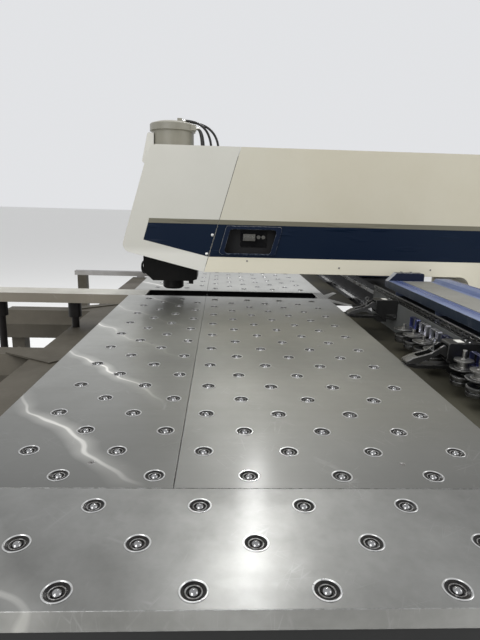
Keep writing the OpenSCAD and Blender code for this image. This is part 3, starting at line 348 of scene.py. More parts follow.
print("group:", scratch_group.name, len(scratch_group.nodes), "nodes")

# %% [markdown]
# Folded sheet and machined blocks have no knife edges. The Bevel node turns the normal
# near an edge as a small rounding would, so every edge catches a thin line of light,
# and the mesh stays as it is. The angle between that normal and the true one is also a
# mask of the edges, which is where paint wears off first. Noise breaks the mask up.

# %% Softened and worn edges
edge_group, edge_in, edge_end = new_group(
    "worn edges",
    [("Position", "Vector", None), ("Width", "Float", 0.003), ("Amount", "Float", 1.0)],
    [("Mask", "Float"), ("Normal", "Vector")],
)
softened = add(edge_group, "ShaderNodeBevel", {"Radius": edge_in["Width"]}, samples=4).outputs["Normal"]
surface = add(edge_group, "ShaderNodeNewGeometry").outputs["Normal"]
bent = ramp(edge_group, measured(edge_group, softened, surface), 0.995, 0.90)
chips = noise(edge_group, edge_in["Position"], 60.0, detail=4.0, roughness=0.7)
fill(edge_group, edge_end, {
    "Mask": maths(edge_group, "MULTIPLY", bent, ramp(edge_group, chips, 0.42, 0.60),
                  edge_in["Amount"], clamp=True),
    "Normal": softened,
})
print("group:", edge_group.name, len(edge_group.nodes), "nodes")

# %% [markdown]
# Some finishes change at a place: a skirt is darker than the top, or a cup is bright
# only at its rim. This group gives a mask between two positions along one direction.
# The machine's own directions have names: along the wings, back into the throat and up.

# %% Mask along a direction
ALONG = (1, 0, 0)
BACK = (0, 1, 0)
UP = (0, 0, 1)

zone_group, zone_in, zone_end = new_group(
    "zone",
    [("Position", "Vector", None), ("Direction", "Vector", BACK),
     ("From", "Float", 0.0), ("To", "Float", 1.0)],
    [("Mask", "Float")],
)
along = measured(zone_group, zone_in["Position"], zone_in["Direction"])
fill(zone_group, zone_end, {"Mask": ramp(zone_group, along, zone_in["From"], zone_in["To"])})
print("group:", zone_group.name, len(zone_group.nodes), "nodes")


def zone(tree, position, direction, start, end):
    """Mask that grows from 0 to 1 between two positions along a direction."""
    return place(tree, zone_group, {
        "Position": position, "Direction": direction, "From": start, "To": end,
    })["Mask"]


# %% [markdown]
# The painters further down take a mask as a function of the tree and the position.
# These makers write such functions: past one plane, between two planes, or where
# several masks meet.

# %% Makers of masks
def past(direction, start, end):
    """Mask that is 1 beyond end and 0 before start."""
    return lambda tree, position: zone(tree, position, direction, start, end)


def where_all(*masks):
    """Mask that is 1 where all the others are."""
    return lambda tree, position: maths(tree, "MULTIPLY", *[mask(tree, position) for mask in masks])


def between(direction, low, high, fade):
    """Mask that is 1 between two positions along a direction."""
    return where_all(past(direction, low, low + fade), past(direction, high, high - fade))


print("mask makers ready:", past.__name__, between.__name__, where_all.__name__)

# %% [markdown]
# ## Painted sheet and castings
# Most covers are painted steel. One maker of materials serves them all: it takes the
# paint's colour, the colour that dirt turns it to, what shows where it has worn off, the
# gloss, and how coarse the surface is. Each call below is one paint of the real machine.

# %% What paint and steel share
finishes = {}


def start_material(name):
    """A new finish: its node tree, its shader and the piece's own coordinates."""
    material = bpy.data.materials.new(name)
    material.use_nodes = True
    finishes[name] = material
    tree = material.node_tree
    return tree, tree.nodes["Principled BSDF"], add(tree, "ShaderNodeTexCoord").outputs["Object"]


def two_colours(tree, position, colour, second, where):
    """The colour, and the second one where its mask is 1."""
    if second is None:
        return rgb(*colour)
    return mix(tree, where(tree, position), rgb(*colour), rgb(*second))


def rubbed(tree, position, colour, bare, width, wear, density, scuffs):
    """The colour with bare metal on its edges and in its scratches, and the softened normal."""
    edges = place(tree, edge_group, {"Position": position, "Width": width, "Amount": wear})
    if wear:
        colour = mix(tree, edges["Mask"], colour, rgb(*bare))
    if scuffs:
        marks = place(tree, scratch_group, {
            "Position": position, "Density": density, "Coverage": scuffs,
        })
        colour = mix(tree, marks["Mask"], colour, rgb(*bare))
    return colour, edges["Normal"]


def tinted(name, colour, where):
    """Lays a further colour over a finish where its mask is 1."""
    tree = finishes[name].node_tree
    paint = tree.nodes["Principled BSDF"].inputs["Base Color"]
    position = add(tree, "ShaderNodeTexCoord").outputs["Object"]
    tree.links.new(mix(tree, where(tree, position), paint.links[0].from_socket, rgb(*colour)), paint)


print("finish helpers ready:", start_material.__name__, rubbed.__name__, tinted.__name__)

# %% Painted metal
def painted(name, colour, aged, bare=(0.30, 0.30, 0.30), roughness=0.42, patches=1.6,
            amount=0.5, wear=0.0, width=0.003, texture=220.0, bump=0.05, scuffs=0.0,
            specular=0.5, second=None, where=None):
    """Paint with patches of age, rubbed edges, scuffs and a fine surface."""
    tree, shader, position = start_material(name)
    tone = place(tree, tone_group, {
        "Position": position, "Colour": two_colours(tree, position, colour, second, where),
        "Aged": rgb(*aged), "Patch size": patches, "Amount": amount,
    })
    final, softened = rubbed(tree, position, tone["Colour"], bare, width, wear, 5.0, scuffs)
    fill(tree, shader, {
        "Base Color": final, "Specular IOR Level": specular,
        "Roughness": ramp(tree, tone["Mask"], 0.0, 1.0, roughness - 0.06, roughness + 0.16),
        "Normal": relief(tree, noise(tree, position, texture), bump, 0.001, softened),
    })


print("maker ready:", painted.__name__)

# %% [markdown]
# The covers are lighter below the band than above it, on the nose and on the arm. This is
# painted light: a further, lighter colour is laid over both paints by height, for the light
# that reaches the lower covers from below.

# %% Cover paints
painted("cover_white", (0.63, 0.62, 0.56), (0.56, 0.55, 0.49), patches=1.3)
# Painted light: the white cover is lighter below the band.
tinted("cover_white", (0.74, 0.73, 0.67), past(UP, 1.30, 1.25))
painted("cover_cream", (0.62, 0.585, 0.475), (0.53, 0.49, 0.37), roughness=0.46, patches=0.9,
        amount=0.6, second=(0.61, 0.59, 0.50), where=past(BACK, 1.1, 0.4))
# Painted light: the cream cover is lighter below the band, except on the column at the rear.
tinted("cover_cream", (0.76, 0.72, 0.585), where_all(past(UP, 1.32, 1.26), past(BACK, 2.6, 2.2)))
painted("hump_grey", (0.64, 0.63, 0.58), (0.54, 0.53, 0.48), roughness=0.45)
print("paints:", len(finishes))

# %% [markdown]
# The fixed beam's top is painted lighter than its face: a painted highlight where the light
# falls on it. The frames below the table share its paint, and they are painted near black
# here as painted shade, as their shade is in the photo. The plates under the tools are
# painted darker towards the head, as painted shade under the arm.

# %% Paints of the frames
BEAM_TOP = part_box("centre_beam")[1][2]
DARK_BELOW = 0.893
DARK_BEHIND = -0.245

painted("frame_paint", (0.022, 0.022, 0.024), (0.014, 0.014, 0.013), roughness=0.5, wear=0.6,
        specular=0.25)
painted("base_paint", (0.088, 0.078, 0.060), (0.048, 0.042, 0.031), bare=(0.05, 0.046, 0.04),
        roughness=0.58, amount=0.8, wear=0.7, scuffs=0.25, specular=0.3)
# The second, lighter colour on the beam's top is a painted highlight.
painted("beam_grey", (0.25, 0.225, 0.18), (0.17, 0.15, 0.12), bare=(0.45, 0.44, 0.40),
        roughness=0.5, wear=0.8, scuffs=0.5, specular=0.3, second=(0.52, 0.51, 0.46),
        where=past(UP, BEAM_TOP - 0.002, BEAM_TOP - 0.001))
# Painted shade: the frames below the table and behind the head's front are near black.
tinted("beam_grey", (0.010, 0.010, 0.010),
       where_all(past(BACK, DARK_BEHIND, DARK_BEHIND + 0.002), past(UP, DARK_BELOW, DARK_BELOW - 0.003)))
# Painted shade: the plates under the tools turn near black towards the head.
painted("apron_paint", (0.115, 0.112, 0.088), (0.065, 0.06, 0.042), roughness=0.6, amount=0.8,
        wear=0.5, specular=0.15, second=(0.004, 0.004, 0.0035), where=past(ALONG, 2.3, 1.5))
painted("rail_paint", (0.115, 0.120, 0.118), (0.075, 0.077, 0.070), bare=(0.25, 0.25, 0.23),
        roughness=0.48, amount=0.8, wear=0.8, scuffs=0.25, specular=0.3)
print("paints:", len(finishes))

# %% Black paints, castings and rubber
painted("motor_black", (0.015, 0.015, 0.017), (0.03, 0.029, 0.027), roughness=0.45, wear=0.4)
painted("post_black", (0.008, 0.007, 0.007), (0.018, 0.016, 0.014), roughness=0.38,
        texture=300.0, bump=0.1, specular=0.2)
painted("cassette_black", (0.010, 0.010, 0.012), (0.022, 0.021, 0.02), roughness=0.5,
        texture=500.0, bump=0.15, wear=0.5, specular=0.3)
painted("black_cast", (0.004, 0.004, 0.004), (0.010, 0.009, 0.008), bare=(0.10, 0.10, 0.095),
        roughness=0.40, patches=6.0, texture=160.0, bump=0.4, wear=0.5, specular=0.12)
painted("hose_rubber", (0.010, 0.010, 0.010), (0.022, 0.021, 0.02), roughness=0.4,
        texture=600.0, bump=0.12, specular=0.4)
print("paints:", len(finishes))

# %% [markdown]
# The cylinder on the head is khaki, and the flange at its top is a lighter grey. The
# same painter does it, with a mask by height.

# %% Cylinder paint
CYLINDER_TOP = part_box("head_cylinder")[1][2]

painted("cylinder_metal", (0.25, 0.24, 0.195), (0.19, 0.18, 0.14), roughness=0.4, patches=4.0,
        wear=0.4, bare=(0.42, 0.41, 0.37), second=(0.27, 0.26, 0.22),
        where=past(UP, CYLINDER_TOP - 0.100, CYLINDER_TOP - 0.098))
print("cylinder top at", round(CYLINDER_TOP, 3), "m")

# %% [markdown]
# ## Films
# The navy band and the grey stripe are thin films. A film that was laid by hand has
# shallow wrinkles along it, so a stretched noise makes a slow bump. Their gloss is low:
# the specular level is set on the shader's own socket, because an exporter drops it
# when it is linked.

# %% Films
def film(name, colour, aged, roughness, specular):
    """Thin film with the shallow level wrinkles that stay after laying."""
    tree, shader, position = start_material(name)
    tone = place(tree, tone_group, {
        "Position": position, "Colour": rgb(*colour), "Aged": rgb(*aged),
        "Patch size": 2.4, "Amount": 0.5,
    })
    wrinkles = ramp(tree, noise(tree, scaled(tree, position, (1.0, 2.6, 22.0)), 1.0), 0.60, 0.72)
    wrinkled = add(tree, "ShaderNodeBump", {"Strength": 0.5, "Distance": 0.006, "Height": wrinkles})
    fill(tree, shader, {
        "Base Color": tone["Colour"], "Specular IOR Level": specular,
        "Roughness": ramp(tree, tone["Mask"], 0.0, 1.0, roughness - 0.05, roughness + 0.12),
        "Normal": wrinkled.outputs["Normal"],
    })


film("navy_film", (0.0030, 0.0095, 0.026), (0.0045, 0.012, 0.027), 0.34, 0.12)
film("grey_film", (0.18, 0.17, 0.125), (0.155, 0.145, 0.105), 0.5, 0.3)
painted("navy_frame", (0.0035, 0.0095, 0.028), (0.006, 0.012, 0.028), bare=(0.30, 0.34, 0.40),
        roughness=0.36, wear=1.0, width=0.005, specular=0.15)
print("finishes so far:", len(finishes))

# %% [markdown]
# The band's solid has the same opening on both sides, and only the near side has a
# window. The far sheet is painted navy behind its opening, so that the band looks
# unbroken there.

# %% Navy field on the far side
BAND_LOW, BAND_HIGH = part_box("trim_bands")
BAND_EDGE = 0.004
FAR_SHEET = -0.300
FIELD_FRONT = 0.30
FIELD_REAR = 0.85

tinted("cover_cream", (0.0035, 0.010, 0.026), where_all(
    past(ALONG, FAR_SHEET, FAR_SHEET - 0.005),
    between(UP, BAND_LOW[2] + BAND_EDGE, BAND_HIGH[2] - BAND_EDGE, 0.001),
    between(BACK, FIELD_FRONT, FIELD_REAR, 0.01)))
print("band from", round(BAND_LOW[2], 3), "to", round(BAND_HIGH[2], 3), "m")

# %% [markdown]
# ## Bare metal
# Steel keeps a full Metallic value, and its look comes from how rough it is and which
# way it was worked. Turned and ground pieces are fine and even, tool steel is darker and
# oily, and edges that rub are brighter.

# %% Bare steel
def steel(name, colour, dull, roughness=0.3, stretch=(60.0, 60.0, 4.0), wear=0.0,
          bright=(0.8, 0.8, 0.8), grain=0.12, scuffs=0.0, patches=5.0, second=None, where=None):
    """Worked steel: grain along one direction, oily patches and rubbed edges."""
    tree, shader, position = start_material(name)
    tone = place(tree, tone_group, {
        "Position": position, "Colour": two_colours(tree, position, colour, second, where),
        "Aged": rgb(*dull), "Patch size": patches, "Amount": 0.6,
    })
    final, softened = rubbed(tree, position, tone["Colour"], bright, 0.0025, wear, 14.0, scuffs)
    brushed = place(tree, grain_group, {"Position": position, "Stretch": stretch})
    fill(tree, shader, {
        "Base Color": final, "Metallic": 1.0,
        "Roughness": ramp(tree, brushed["Mask"], 0.0, 1.0, roughness - 0.05, roughness + 0.1),
        "Normal": relief(tree, brushed["Height"], grain, 0.0004, softened),
    })


UPRIGHT_GRAIN = (8.0, 8.0, 260.0)

steel("bare_steel", (0.36, 0.35, 0.34), (0.24, 0.23, 0.215), roughness=0.42)
steel("ground_steel", (0.52, 0.52, 0.52), (0.42, 0.42, 0.415), roughness=0.24)
steel("block_steel", (0.34, 0.35, 0.36), (0.26, 0.265, 0.27), roughness=0.34, wear=0.7)
steel("roller_steel", (0.42, 0.42, 0.42), (0.31, 0.30, 0.29), stretch=(300.0, 8.0, 8.0))
steel("clamp_paint", (0.075, 0.075, 0.075), (0.04, 0.039, 0.037), roughness=0.38, wear=1.0,
      bright=(0.50, 0.50, 0.50), scuffs=0.3)
steel("jaw_steel", (0.20, 0.20, 0.20), (0.11, 0.11, 0.107), roughness=0.32,
      stretch=(90.0, 4.0, 90.0), wear=1.0, scuffs=0.4)
steel("tool_steel", (0.30, 0.295, 0.28), (0.15, 0.145, 0.13), roughness=0.28,
      stretch=UPRIGHT_GRAIN, wear=0.9)
steel("ring_steel", (0.15, 0.15, 0.145), (0.08, 0.078, 0.07), roughness=0.34,
      stretch=UPRIGHT_GRAIN, wear=1.0)
steel("die_steel", (0.11, 0.11, 0.105), (0.06, 0.058, 0.052), roughness=0.34,
      stretch=UPRIGHT_GRAIN, wear=1.0)
steel("screw_steel", (0.26, 0.25, 0.235), (0.16, 0.15, 0.14), roughness=0.35, wear=0.8)
steel("ball_steel", (0.36, 0.36, 0.36), (0.26, 0.26, 0.26), roughness=0.10, grain=0.02, patches=60.0)
print("finishes so far:", len(finishes))

# %% [markdown]
# The perforated strip is bright along its top flange and dark on its face, and the
# valve parts behind the window are bright against a dark plate. The spring clips are
# blued steel, apart from those of the second and third cassette, which are plain.

# %% Strip, valves and clips
STRIP_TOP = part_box("rail_strip")[1][2]
VALVE_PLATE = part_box("valve_block")[0][0] + 0.011
CLIPS_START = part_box("cassette_clips")[0][0]

steel("strip_steel", (0.12, 0.12, 0.112), (0.06, 0.059, 0.052), roughness=0.36,
      stretch=(4.0, 90.0, 90.0), wear=0.8, second=(0.55, 0.55, 0.53),
      where=past(UP, STRIP_TOP - 0.004, STRIP_TOP - 0.002))
steel("valve_metal", (0.008, 0.008, 0.009), (0.02, 0.02, 0.02), roughness=0.34, wear=0.4,
      patches=9.0, second=(0.17, 0.165, 0.15), where=past(ALONG, VALVE_PLATE, VALVE_PLATE + 0.002))
steel("clip_steel", (0.20, 0.22, 0.42), (0.13, 0.14, 0.26), roughness=0.24, wear=0.7,
      second=(0.78, 0.78, 0.80), where=between(ALONG, CLIPS_START + 0.110, CLIPS_START + 0.392, 0.002))
print("strip top at", round(STRIP_TOP, 3), "m; clips from", round(CLIPS_START, 3), "m")

# %% [markdown]
# ## The table
# The table is the largest surface and sits right before the camera. It is satin
# stainless sheet: a very faint grain across the wing, a few scratches, slightly darker
# rubbed fields, and a slow waviness. In the photo the buckled sheet mirrors lamps as
# bright bent streaks near its free edge. Here they are painted into the colour, so they
# stay where they are from every side, which a real reflection doesn't. A streak comes
# from the distance to slanted lines that a slow noise bends. The waviness is a bump
# with its height in metres.

# %% Form and streaks of the sheet
TABLE_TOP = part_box("table_end_panels")[1][2]
END_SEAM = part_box("table_right_panels")[1][0]
SHEET_WAVE = 0.004
ARC_PITCH = 0.55
ARC_BEND = 0.30
ARC_CORE = 0.020
ARC_HALO = 0.075


def slow_form(tree, position):
    """Height of the sheet in metres: it waves slowly, by a few millimetres."""
    return maths(tree, "MULTIPLY", noise(tree, position, 2.1, detail=0.0), SHEET_WAVE)


def bright_arcs(tree, position):
    """Bright bent streaks near the free edge, painted where the photo shows mirrored lamps."""
    bend = maths(tree, "MULTIPLY", noise(tree, position, 3.2, roughness=0.6), ARC_BEND)
    slant = measured(tree, position, (1.0, -1.17, 0.0))
    far = maths(tree, "PINGPONG", maths(tree, "ADD", slant, bend), ARC_PITCH / 2)
    core = ramp(tree, far, ARC_CORE, ARC_CORE / 4)
    halo = ramp(tree, far, ARC_HALO, 0.0, 0.0, 0.45)
    fading = ramp(tree, noise(tree, position, 1.7, detail=1.0), 0.36, 0.56, 0.30, 1.0)
    free_edge = zone(tree, position, BACK, 0.20, -0.10)
    return maths(tree, "MULTIPLY", maths(tree, "MAXIMUM", core, halo), fading, free_edge)


print("table top at", round(TABLE_TOP, 4), "m, streaks every", ARC_PITCH, "m")

# %% [markdown]
# On the near wing the sheet's colour is darker towards the outer end than beside the
# head, and its end panel is a little lighter again. Both are painted reflection and
# shade: they follow the brightness in the photo, where the satin sheet mirrors its
# surroundings. The far wing has the colour from beside the head all over.

# %% Satin table sheet
def table_sheet():
    """Satin sheet with grain, scratches, bright streaks and a slow waviness."""
    tree, shader, position = start_material("table_steel")
    # Painted reflection and shade: darker towards the outer end, a little lighter on the end panel.
    near_head = zone(tree, position, ALONG, 2.9, 1.2)
    end_panel = zone(tree, position, ALONG, END_SEAM, END_SEAM + 0.002)
    outer = mix(tree, end_panel, rgb(0.165, 0.165, 0.155), rgb(0.33, 0.33, 0.315))
    tone = place(tree, tone_group, {
        "Position": position, "Colour": mix(tree, near_head, outer, rgb(0.46, 0.46, 0.425)),
        "Aged": mix(tree, near_head, rgb(0.15, 0.15, 0.14), rgb(0.34, 0.34, 0.31)),
        "Patch size": 1.9, "Amount": 0.9,
    })
    marks = place(tree, scratch_group, {"Position": position, "Density": 3.2, "Coverage": 0.16})
    scratched = mix(tree, marks["Mask"], tone["Colour"], rgb(0.62, 0.62, 0.61))
    streaked = mix(tree, bright_arcs(tree, position), scratched, rgb(1.0, 0.98, 0.92))
    edges = place(tree, edge_group, {"Position": position, "Width": 0.003, "Amount": 0.5})
    brushed = place(tree, grain_group, {"Position": position, "Stretch": (260.0, 3.0, 260.0)})
    rub = maths(tree, "ADD", maths(tree, "MULTIPLY", brushed["Mask"], 0.4), tone["Mask"])
    waved = relief(tree, slow_form(tree, position), 1.0, 1.0, edges["Normal"])
    fill(tree, shader, {
        "Base Color": mix(tree, edges["Mask"], streaked, rgb(0.66, 0.66, 0.65)),
        "Metallic": 1.0, "Anisotropic": 0.25, "Coat Weight": 0.35, "Coat Roughness": 0.17,
        "Roughness": ramp(tree, rub, 0.0, 1.2, 0.35, 0.44),
        "Normal": relief(tree, brushed["Height"], 0.05, 0.0003, waved),
    })


table_sheet()
print("table finish:", len(finishes["table_steel"].node_tree.nodes), "nodes")

# %% [markdown]
# The folded ends of the sheets beside the head look black in the gap's shade. They are
# painted near black here, below the table's top.

# %% Dark inner ends
INNER_END = 0.30

tinted("table_steel", (0.006, 0.006, 0.006), where_all(
    between(ALONG, -INNER_END, INNER_END, 0.02), past(UP, TABLE_TOP - 0.002, TABLE_TOP - 0.003)))
print("table finish:", len(finishes["table_steel"].node_tree.nodes), "nodes")

# %% [markdown]
# ## The ball units
# Each unit is a pressed steel cup that is let into the sheet. Its rim stands 1.5 mm
# above the table and is rubbed bright, and everything below the rim is black. One
# material gives both: the height of the surface point chooses between them.

# %% Cup with a bright rim
def cup_finish():
    """Black cup with a rim of bright steel."""
    tree, shader, position = start_material("cup_steel")
    rim = zone(tree, position, UP, TABLE_TOP + 0.0001, TABLE_TOP + 0.0005)
    tone = place(tree, tone_group, {
        "Position": position, "Colour": rgb(0.004, 0.004, 0.004), "Aged": rgb(0.022, 0.02, 0.017),
        "Patch size": 50.0, "Amount": 0.7,
    })
    fill(tree, shader, {
        "Base Color": mix(tree, rim, tone["Colour"], rgb(0.62, 0.62, 0.61)),
        "Metallic": rim, "Specular IOR Level": 0.2,
        "Roughness": ramp(tree, tone["Mask"], 0.0, 1.0, 0.24, 0.42),
    })


cup_finish()

# %% [markdown]
# ## Hoods and gap plate
# The hoods are sprayed a metallic blue. Their upright skirt is painted nearly black as
# painted shade. The top has fine bright streaks along it, partly its brushed grain and
# partly a painted sheen, and the end block's slanted edge is painted silver as a painted
# highlight. So the material is chosen by place and by the way a face looks: the Geometry
# node's normal tells the slanted face from the others.

# %% Hood finish
HOOD_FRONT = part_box("beam_hoods")[0][1]


def hood_finish():
    """Metallic blue with streaks of grain and painted sheen on the top, over a skirt painted nearly black
    as shade.
    """
    tree, shader, position = start_material("hood_blue")
    brushed = place(tree, grain_group, {"Position": position, "Stretch": (1.6, 95.0, 95.0)})
    # The grain's bright streaks are partly a painted sheen of the metallic paint.
    streaked = mix(tree, brushed["Mask"], rgb(0.075, 0.10, 0.23), rgb(0.20, 0.24, 0.36))
    tone = place(tree, tone_group, {
        "Position": position, "Colour": streaked, "Aged": rgb(0.075, 0.095, 0.16),
        "Patch size": 3.0, "Amount": 0.4,
    })
    top = zone(tree, position, BACK, HOOD_FRONT + 0.001, HOOD_FRONT + 0.003)
    # Painted shade: the upright skirt in front of the top is nearly black.
    skirted = mix(tree, top, rgb(0.006, 0.013, 0.026), tone["Colour"])
    edges = place(tree, edge_group, {"Position": position, "Width": 0.003, "Amount": 0.8})
    worn = mix(tree, edges["Mask"], skirted, rgb(0.34, 0.37, 0.45))
    marks = place(tree, scratch_group, {"Position": position, "Density": 5.0, "Coverage": 0.2})
    slow_wave = noise(tree, position, 7.0, detail=1.0)
    fill(tree, shader, {
        "Base Color": mix(tree, marks["Mask"], worn, rgb(0.32, 0.34, 0.40)),
        "Specular IOR Level": 0.25,
        "Roughness": ramp(tree, brushed["Mask"], 0.0, 1.0, 0.26, 0.42),
        "Normal": relief(tree, slow_wave, 0.6, 0.006, edges["Normal"]),
    })


def slanted(tree, position):
    """1 on faces that lean forwards and upwards."""
    facing = add(tree, "ShaderNodeNewGeometry").outputs["Normal"]
    return ramp(tree, measured(tree, facing, (0.0, -0.72, 0.69)), 0.93, 0.97)


hood_finish()
# The silver on the end block's slanted face is a painted highlight.
painted("hood_navy", (0.006, 0.010, 0.030), (0.010, 0.015, 0.030), bare=(0.45, 0.47, 0.52),
        roughness=0.36, wear=1.0, width=0.004, specular=0.3, second=(0.42, 0.44, 0.48),
        where=slanted)
painted("plate_beige", (0.215, 0.212, 0.195), (0.155, 0.15, 0.13), bare=(0.40, 0.40, 0.38),
        roughness=0.5, patches=4.0, wear=0.6, scuffs=0.4)
print("hood front at", round(HOOD_FRONT, 3), "m")

# %% [markdown]
# The bridging plate is light sheet with a grid of small dark marks. The grid is drawn
# from the position alone: each coordinate is counted in steps of the grid, and its
# fraction gives the distance to the nearest mark.

# %% Plate with a grid of marks
MARKS_PER_METRE = 45.0


def round_marks(tree, position):
    """1 inside a grid of small round marks."""
    flat = scaled(tree, position, (MARKS_PER_METRE, MARKS_PER_METRE, 0.0))
    cell = add(tree, "ShaderNodeVectorMath", {0: flat}, operation="FRACTION").outputs[0]
    middle = add(tree, "ShaderNodeVectorMath", {0: cell, 1: (0.5, 0.5, 0.0)}, operation="SUBTRACT")
    far = add(tree, "ShaderNodeVectorMath", {0: middle.outputs[0]}, operation="LENGTH")
    return ramp(tree, far.outputs["Value"], 0.24, 0.18)


painted("gap_metal", (0.50, 0.50, 0.48), (0.38, 0.375, 0.35), roughness=0.42, patches=6.0,
        scuffs=0.4, wear=0.5, bare=(0.66, 0.66, 0.65), second=(0.05, 0.05, 0.05), where=round_marks)
print("marks every", round(1 / MARKS_PER_METRE, 4), "m")

# %% [markdown]
# ## Hand the finishes out
# The record names a slot for every piece, and the slot's name is the finish's name. So
# one loop dresses all the pieces, and a missing finish stops the script.

# %% Assign the finishes
slot_of = {part["node"]: part["material_slot"] for part in frame["record"]["subparts"]}
for name, piece in nodes.items():
    piece.data.materials.clear()
    piece.data.materials.append(finishes[slot_of[name]])
print("dressed:", len(nodes), "pieces with", len(set(slot_of.values())), "finishes")

# %% [markdown]
# ## Small fittings
# Screws, rivets, crimped hose ends, tags and thin pipes are too fine for the
# construction source, and they are what makes a machine look real. They are made here
# in mesh code. Most are turned: a profile goes round an axis, as on a lathe. A turned
# head, a ring and a pipe are all loops of corners that are joined by faces.

# %% Loops of corners
SHARP_ABOVE = math.radians(35)


def circle(radius, sides):
    """Points of a circle, as pairs."""
    turns = [2 * math.pi * k / sides for k in range(sides)]
    return [(radius * math.cos(turn), radius * math.sin(turn)) for turn in turns]


def skinned(build, loops, ring=False):
    """Joins loops of corners by faces. A ring closes on itself, the rest gets two ends."""
    following = loops[1:] + loops[:1] if ring else loops[1:]
    for low, high in zip(loops, following):
        for k in range(len(low)):
            after = (k + 1) % len(low)
            build.faces.new((low[k], low[after], high[after], high[k]))
    if not ring:
        build.faces.new(list(reversed(loops[0])))
        build.faces.new(loops[-1])


def finished(build, name, body, slot, smooth=True):
    """Turns build into a piece with its finish, which rides on a body of the machine."""
    bmesh.ops.recalc_face_normals(build, faces=build.faces)
    mesh = bpy.data.meshes.new(name)
    build.to_mesh(mesh)
    build.free()
    if smooth:
        mesh.polygons.foreach_set("use_smooth", [True] * len(mesh.polygons))
        mesh.set_sharp_from_angle(angle=SHARP_ABOVE)
    piece = bpy.data.objects.new(name, mesh)
    bpy.context.scene.collection.objects.link(piece)
    mesh.materials.append(finishes[slot])
    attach(piece, body)
    print(name, "has", len(mesh.vertices), "corners")


print("helpers ready:", circle.__name__, skinned.__name__, finished.__name__)

# %% Turned heads and chamfered blocks
def turned(build, profile, centre, axis, sides=16):
    """Adds a turned solid to build. profile is a list of (radius, height) along axis."""
    turn = Vector((0, 0, 1)).rotation_difference(Vector(axis)).to_matrix().to_4x4()
    where = Matrix.Translation(Vector(centre)) @ turn
    skinned(build, [
        [build.verts.new(where @ Vector((x, y, height))) for x, y in circle(radius, sides)]
        for radius, height in profile
    ])


def chamfered(build, low, high, chamfer):
    """Adds a block with chamfered edges to build."""
    size = Vector(high) - Vector(low)
    middle = Matrix.Translation((Vector(high) + Vector(low)) / 2)
    made = bmesh.ops.create_cube(build, size=1.0, matrix=middle @ Matrix.Diagonal((*size, 1.0)))
    edges = list({edge for corner in made["verts"] for edge in corner.link_edges})
    bmesh.ops.bevel(build, geom=edges, offset=chamfer, segments=2, affect="EDGES")


print("makers ready:", turned.__name__, chamfered.__name__)

# %% [markdown]
# The cover screws have low domed heads with a washer below. Two hold the nose at its
# lower corner on each side. Darker rivets sit on the arm, and their heads are smaller.

# %% Cover screws and rivets
COVER_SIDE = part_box("arm_panel_near")[1][0]
SCREW_PLACES = ((0.317, 1.394), (0.277, 1.256))
RIVET_PLACES = ((0.576, 1.210), (1.969, 1.173), (1.27, 1.173))
screw_head = [
    (0.011, 0.0), (0.011, 0.0012), (0.0085, 0.0014), (0.0085, 0.003), (0.0062, 0.0052), (0.003, 0.006)]
rivet_head = [(0.007, 0.0), (0.0068, 0.0014), (0.0045, 0.003), (0.001, 0.0036)]


def on_both_sides(profile, places, lift, name, slot):
    """Turned heads on both sides of the covers, at places given as (y, z)."""
    build = bmesh.new()
    for y, z in places:
        for side in (1, -1):
            turned(build, profile, (side * (COVER_SIDE + lift), y, z), (side, 0, 0))
    finished(build, name, "machine_frame", slot)


steel("bright_steel", (0.82, 0.82, 0.80), (0.66, 0.66, 0.64), roughness=0.22, wear=0.4)
on_both_sides(screw_head, SCREW_PLACES, 0.0005, "cover_screws", "bright_steel")
on_both_sides(rivet_head, RIVET_PLACES, 0.0002, "cover_rivets", "screw_steel")

# %% [markdown]
# The hoses end in crimped steel sleeves with a wider collar next to the fitting. Their
# routes come from the source, so the sleeves go where its fittings are.

# %% Crimped hose ends
TOP_FITTING = (0.070, CYLINDER_TOP - 0.016)
SIDE_FITTING = (0.180, CYLINDER_TOP - 0.075)
HOSE_ENDS = (
    (-0.045, TOP_FITTING), (0.010, TOP_FITTING), (0.045, SIDE_FITTING), (0.080, SIDE_FITTING))
sleeve = [
    (0.0125, 0.0), (0.0125, 0.008), (0.0112, 0.009), (0.0112, 0.020),
    (0.0120, 0.0215), (0.0112, 0.023), (0.0112, 0.027), (0.0096, 0.029)]

crimps = bmesh.new()
for x, (y, z) in HOSE_ENDS:
    turned(crimps, sleeve, (x, y, z), (0, 1, 0), sides=12)
finished(crimps, "hose_crimps", "machine_frame", "bright_steel")

# %% [markdown]
# Each ball unit has a thin ring below its rim, which holds the ball in. It is dark and
# only its edge shows. All rings are one mesh, since they never move alone.

# %% Rings in the cups
CUP_COLUMNS = 23
OUTER_COLUMN = 3.146
COLUMN_PITCH = 0.131
ROW_PITCH = 0.25
ring_profile = [(0.0160, -0.0024), (0.0175, -0.0018), (0.0160, -0.0012), (0.0145, -0.0018)]


def ring_places():
    """Centres of the ball units of one wing. Columns of six and five take turns."""
    places = []
    for k in range(CUP_COLUMNS):
        first, count = (-0.035, 5) if k % 2 else (-0.160, 6)
        places += [(OUTER_COLUMN - COLUMN_PITCH * k, first + ROW_PITCH * j) for j in range(count)]
    return places


def ball_ring(build, x, y, sides=20):
    """Adds one ring to build, just below the table's top."""
    skinned(build, [
        [build.verts.new((x + dx, y + dy, TABLE_TOP + height)) for dx, dy in circle(radius, sides)]
        for radius, height in ring_profile
    ], ring=True)


rings = bmesh.new()
for x, y in ring_places():
    ball_ring(rings, x, y)
    ball_ring(rings, -x, y)
finished(rings, "cup_rings", "cross_slide", "screw_steel")
print("rings:", 2 * len(ring_places()))

# %% [markdown]
# The clamps are screwed to the rail through their tops, with socket heads sunk into
# their holes, and each has a plain white tag. They slide with the rail.

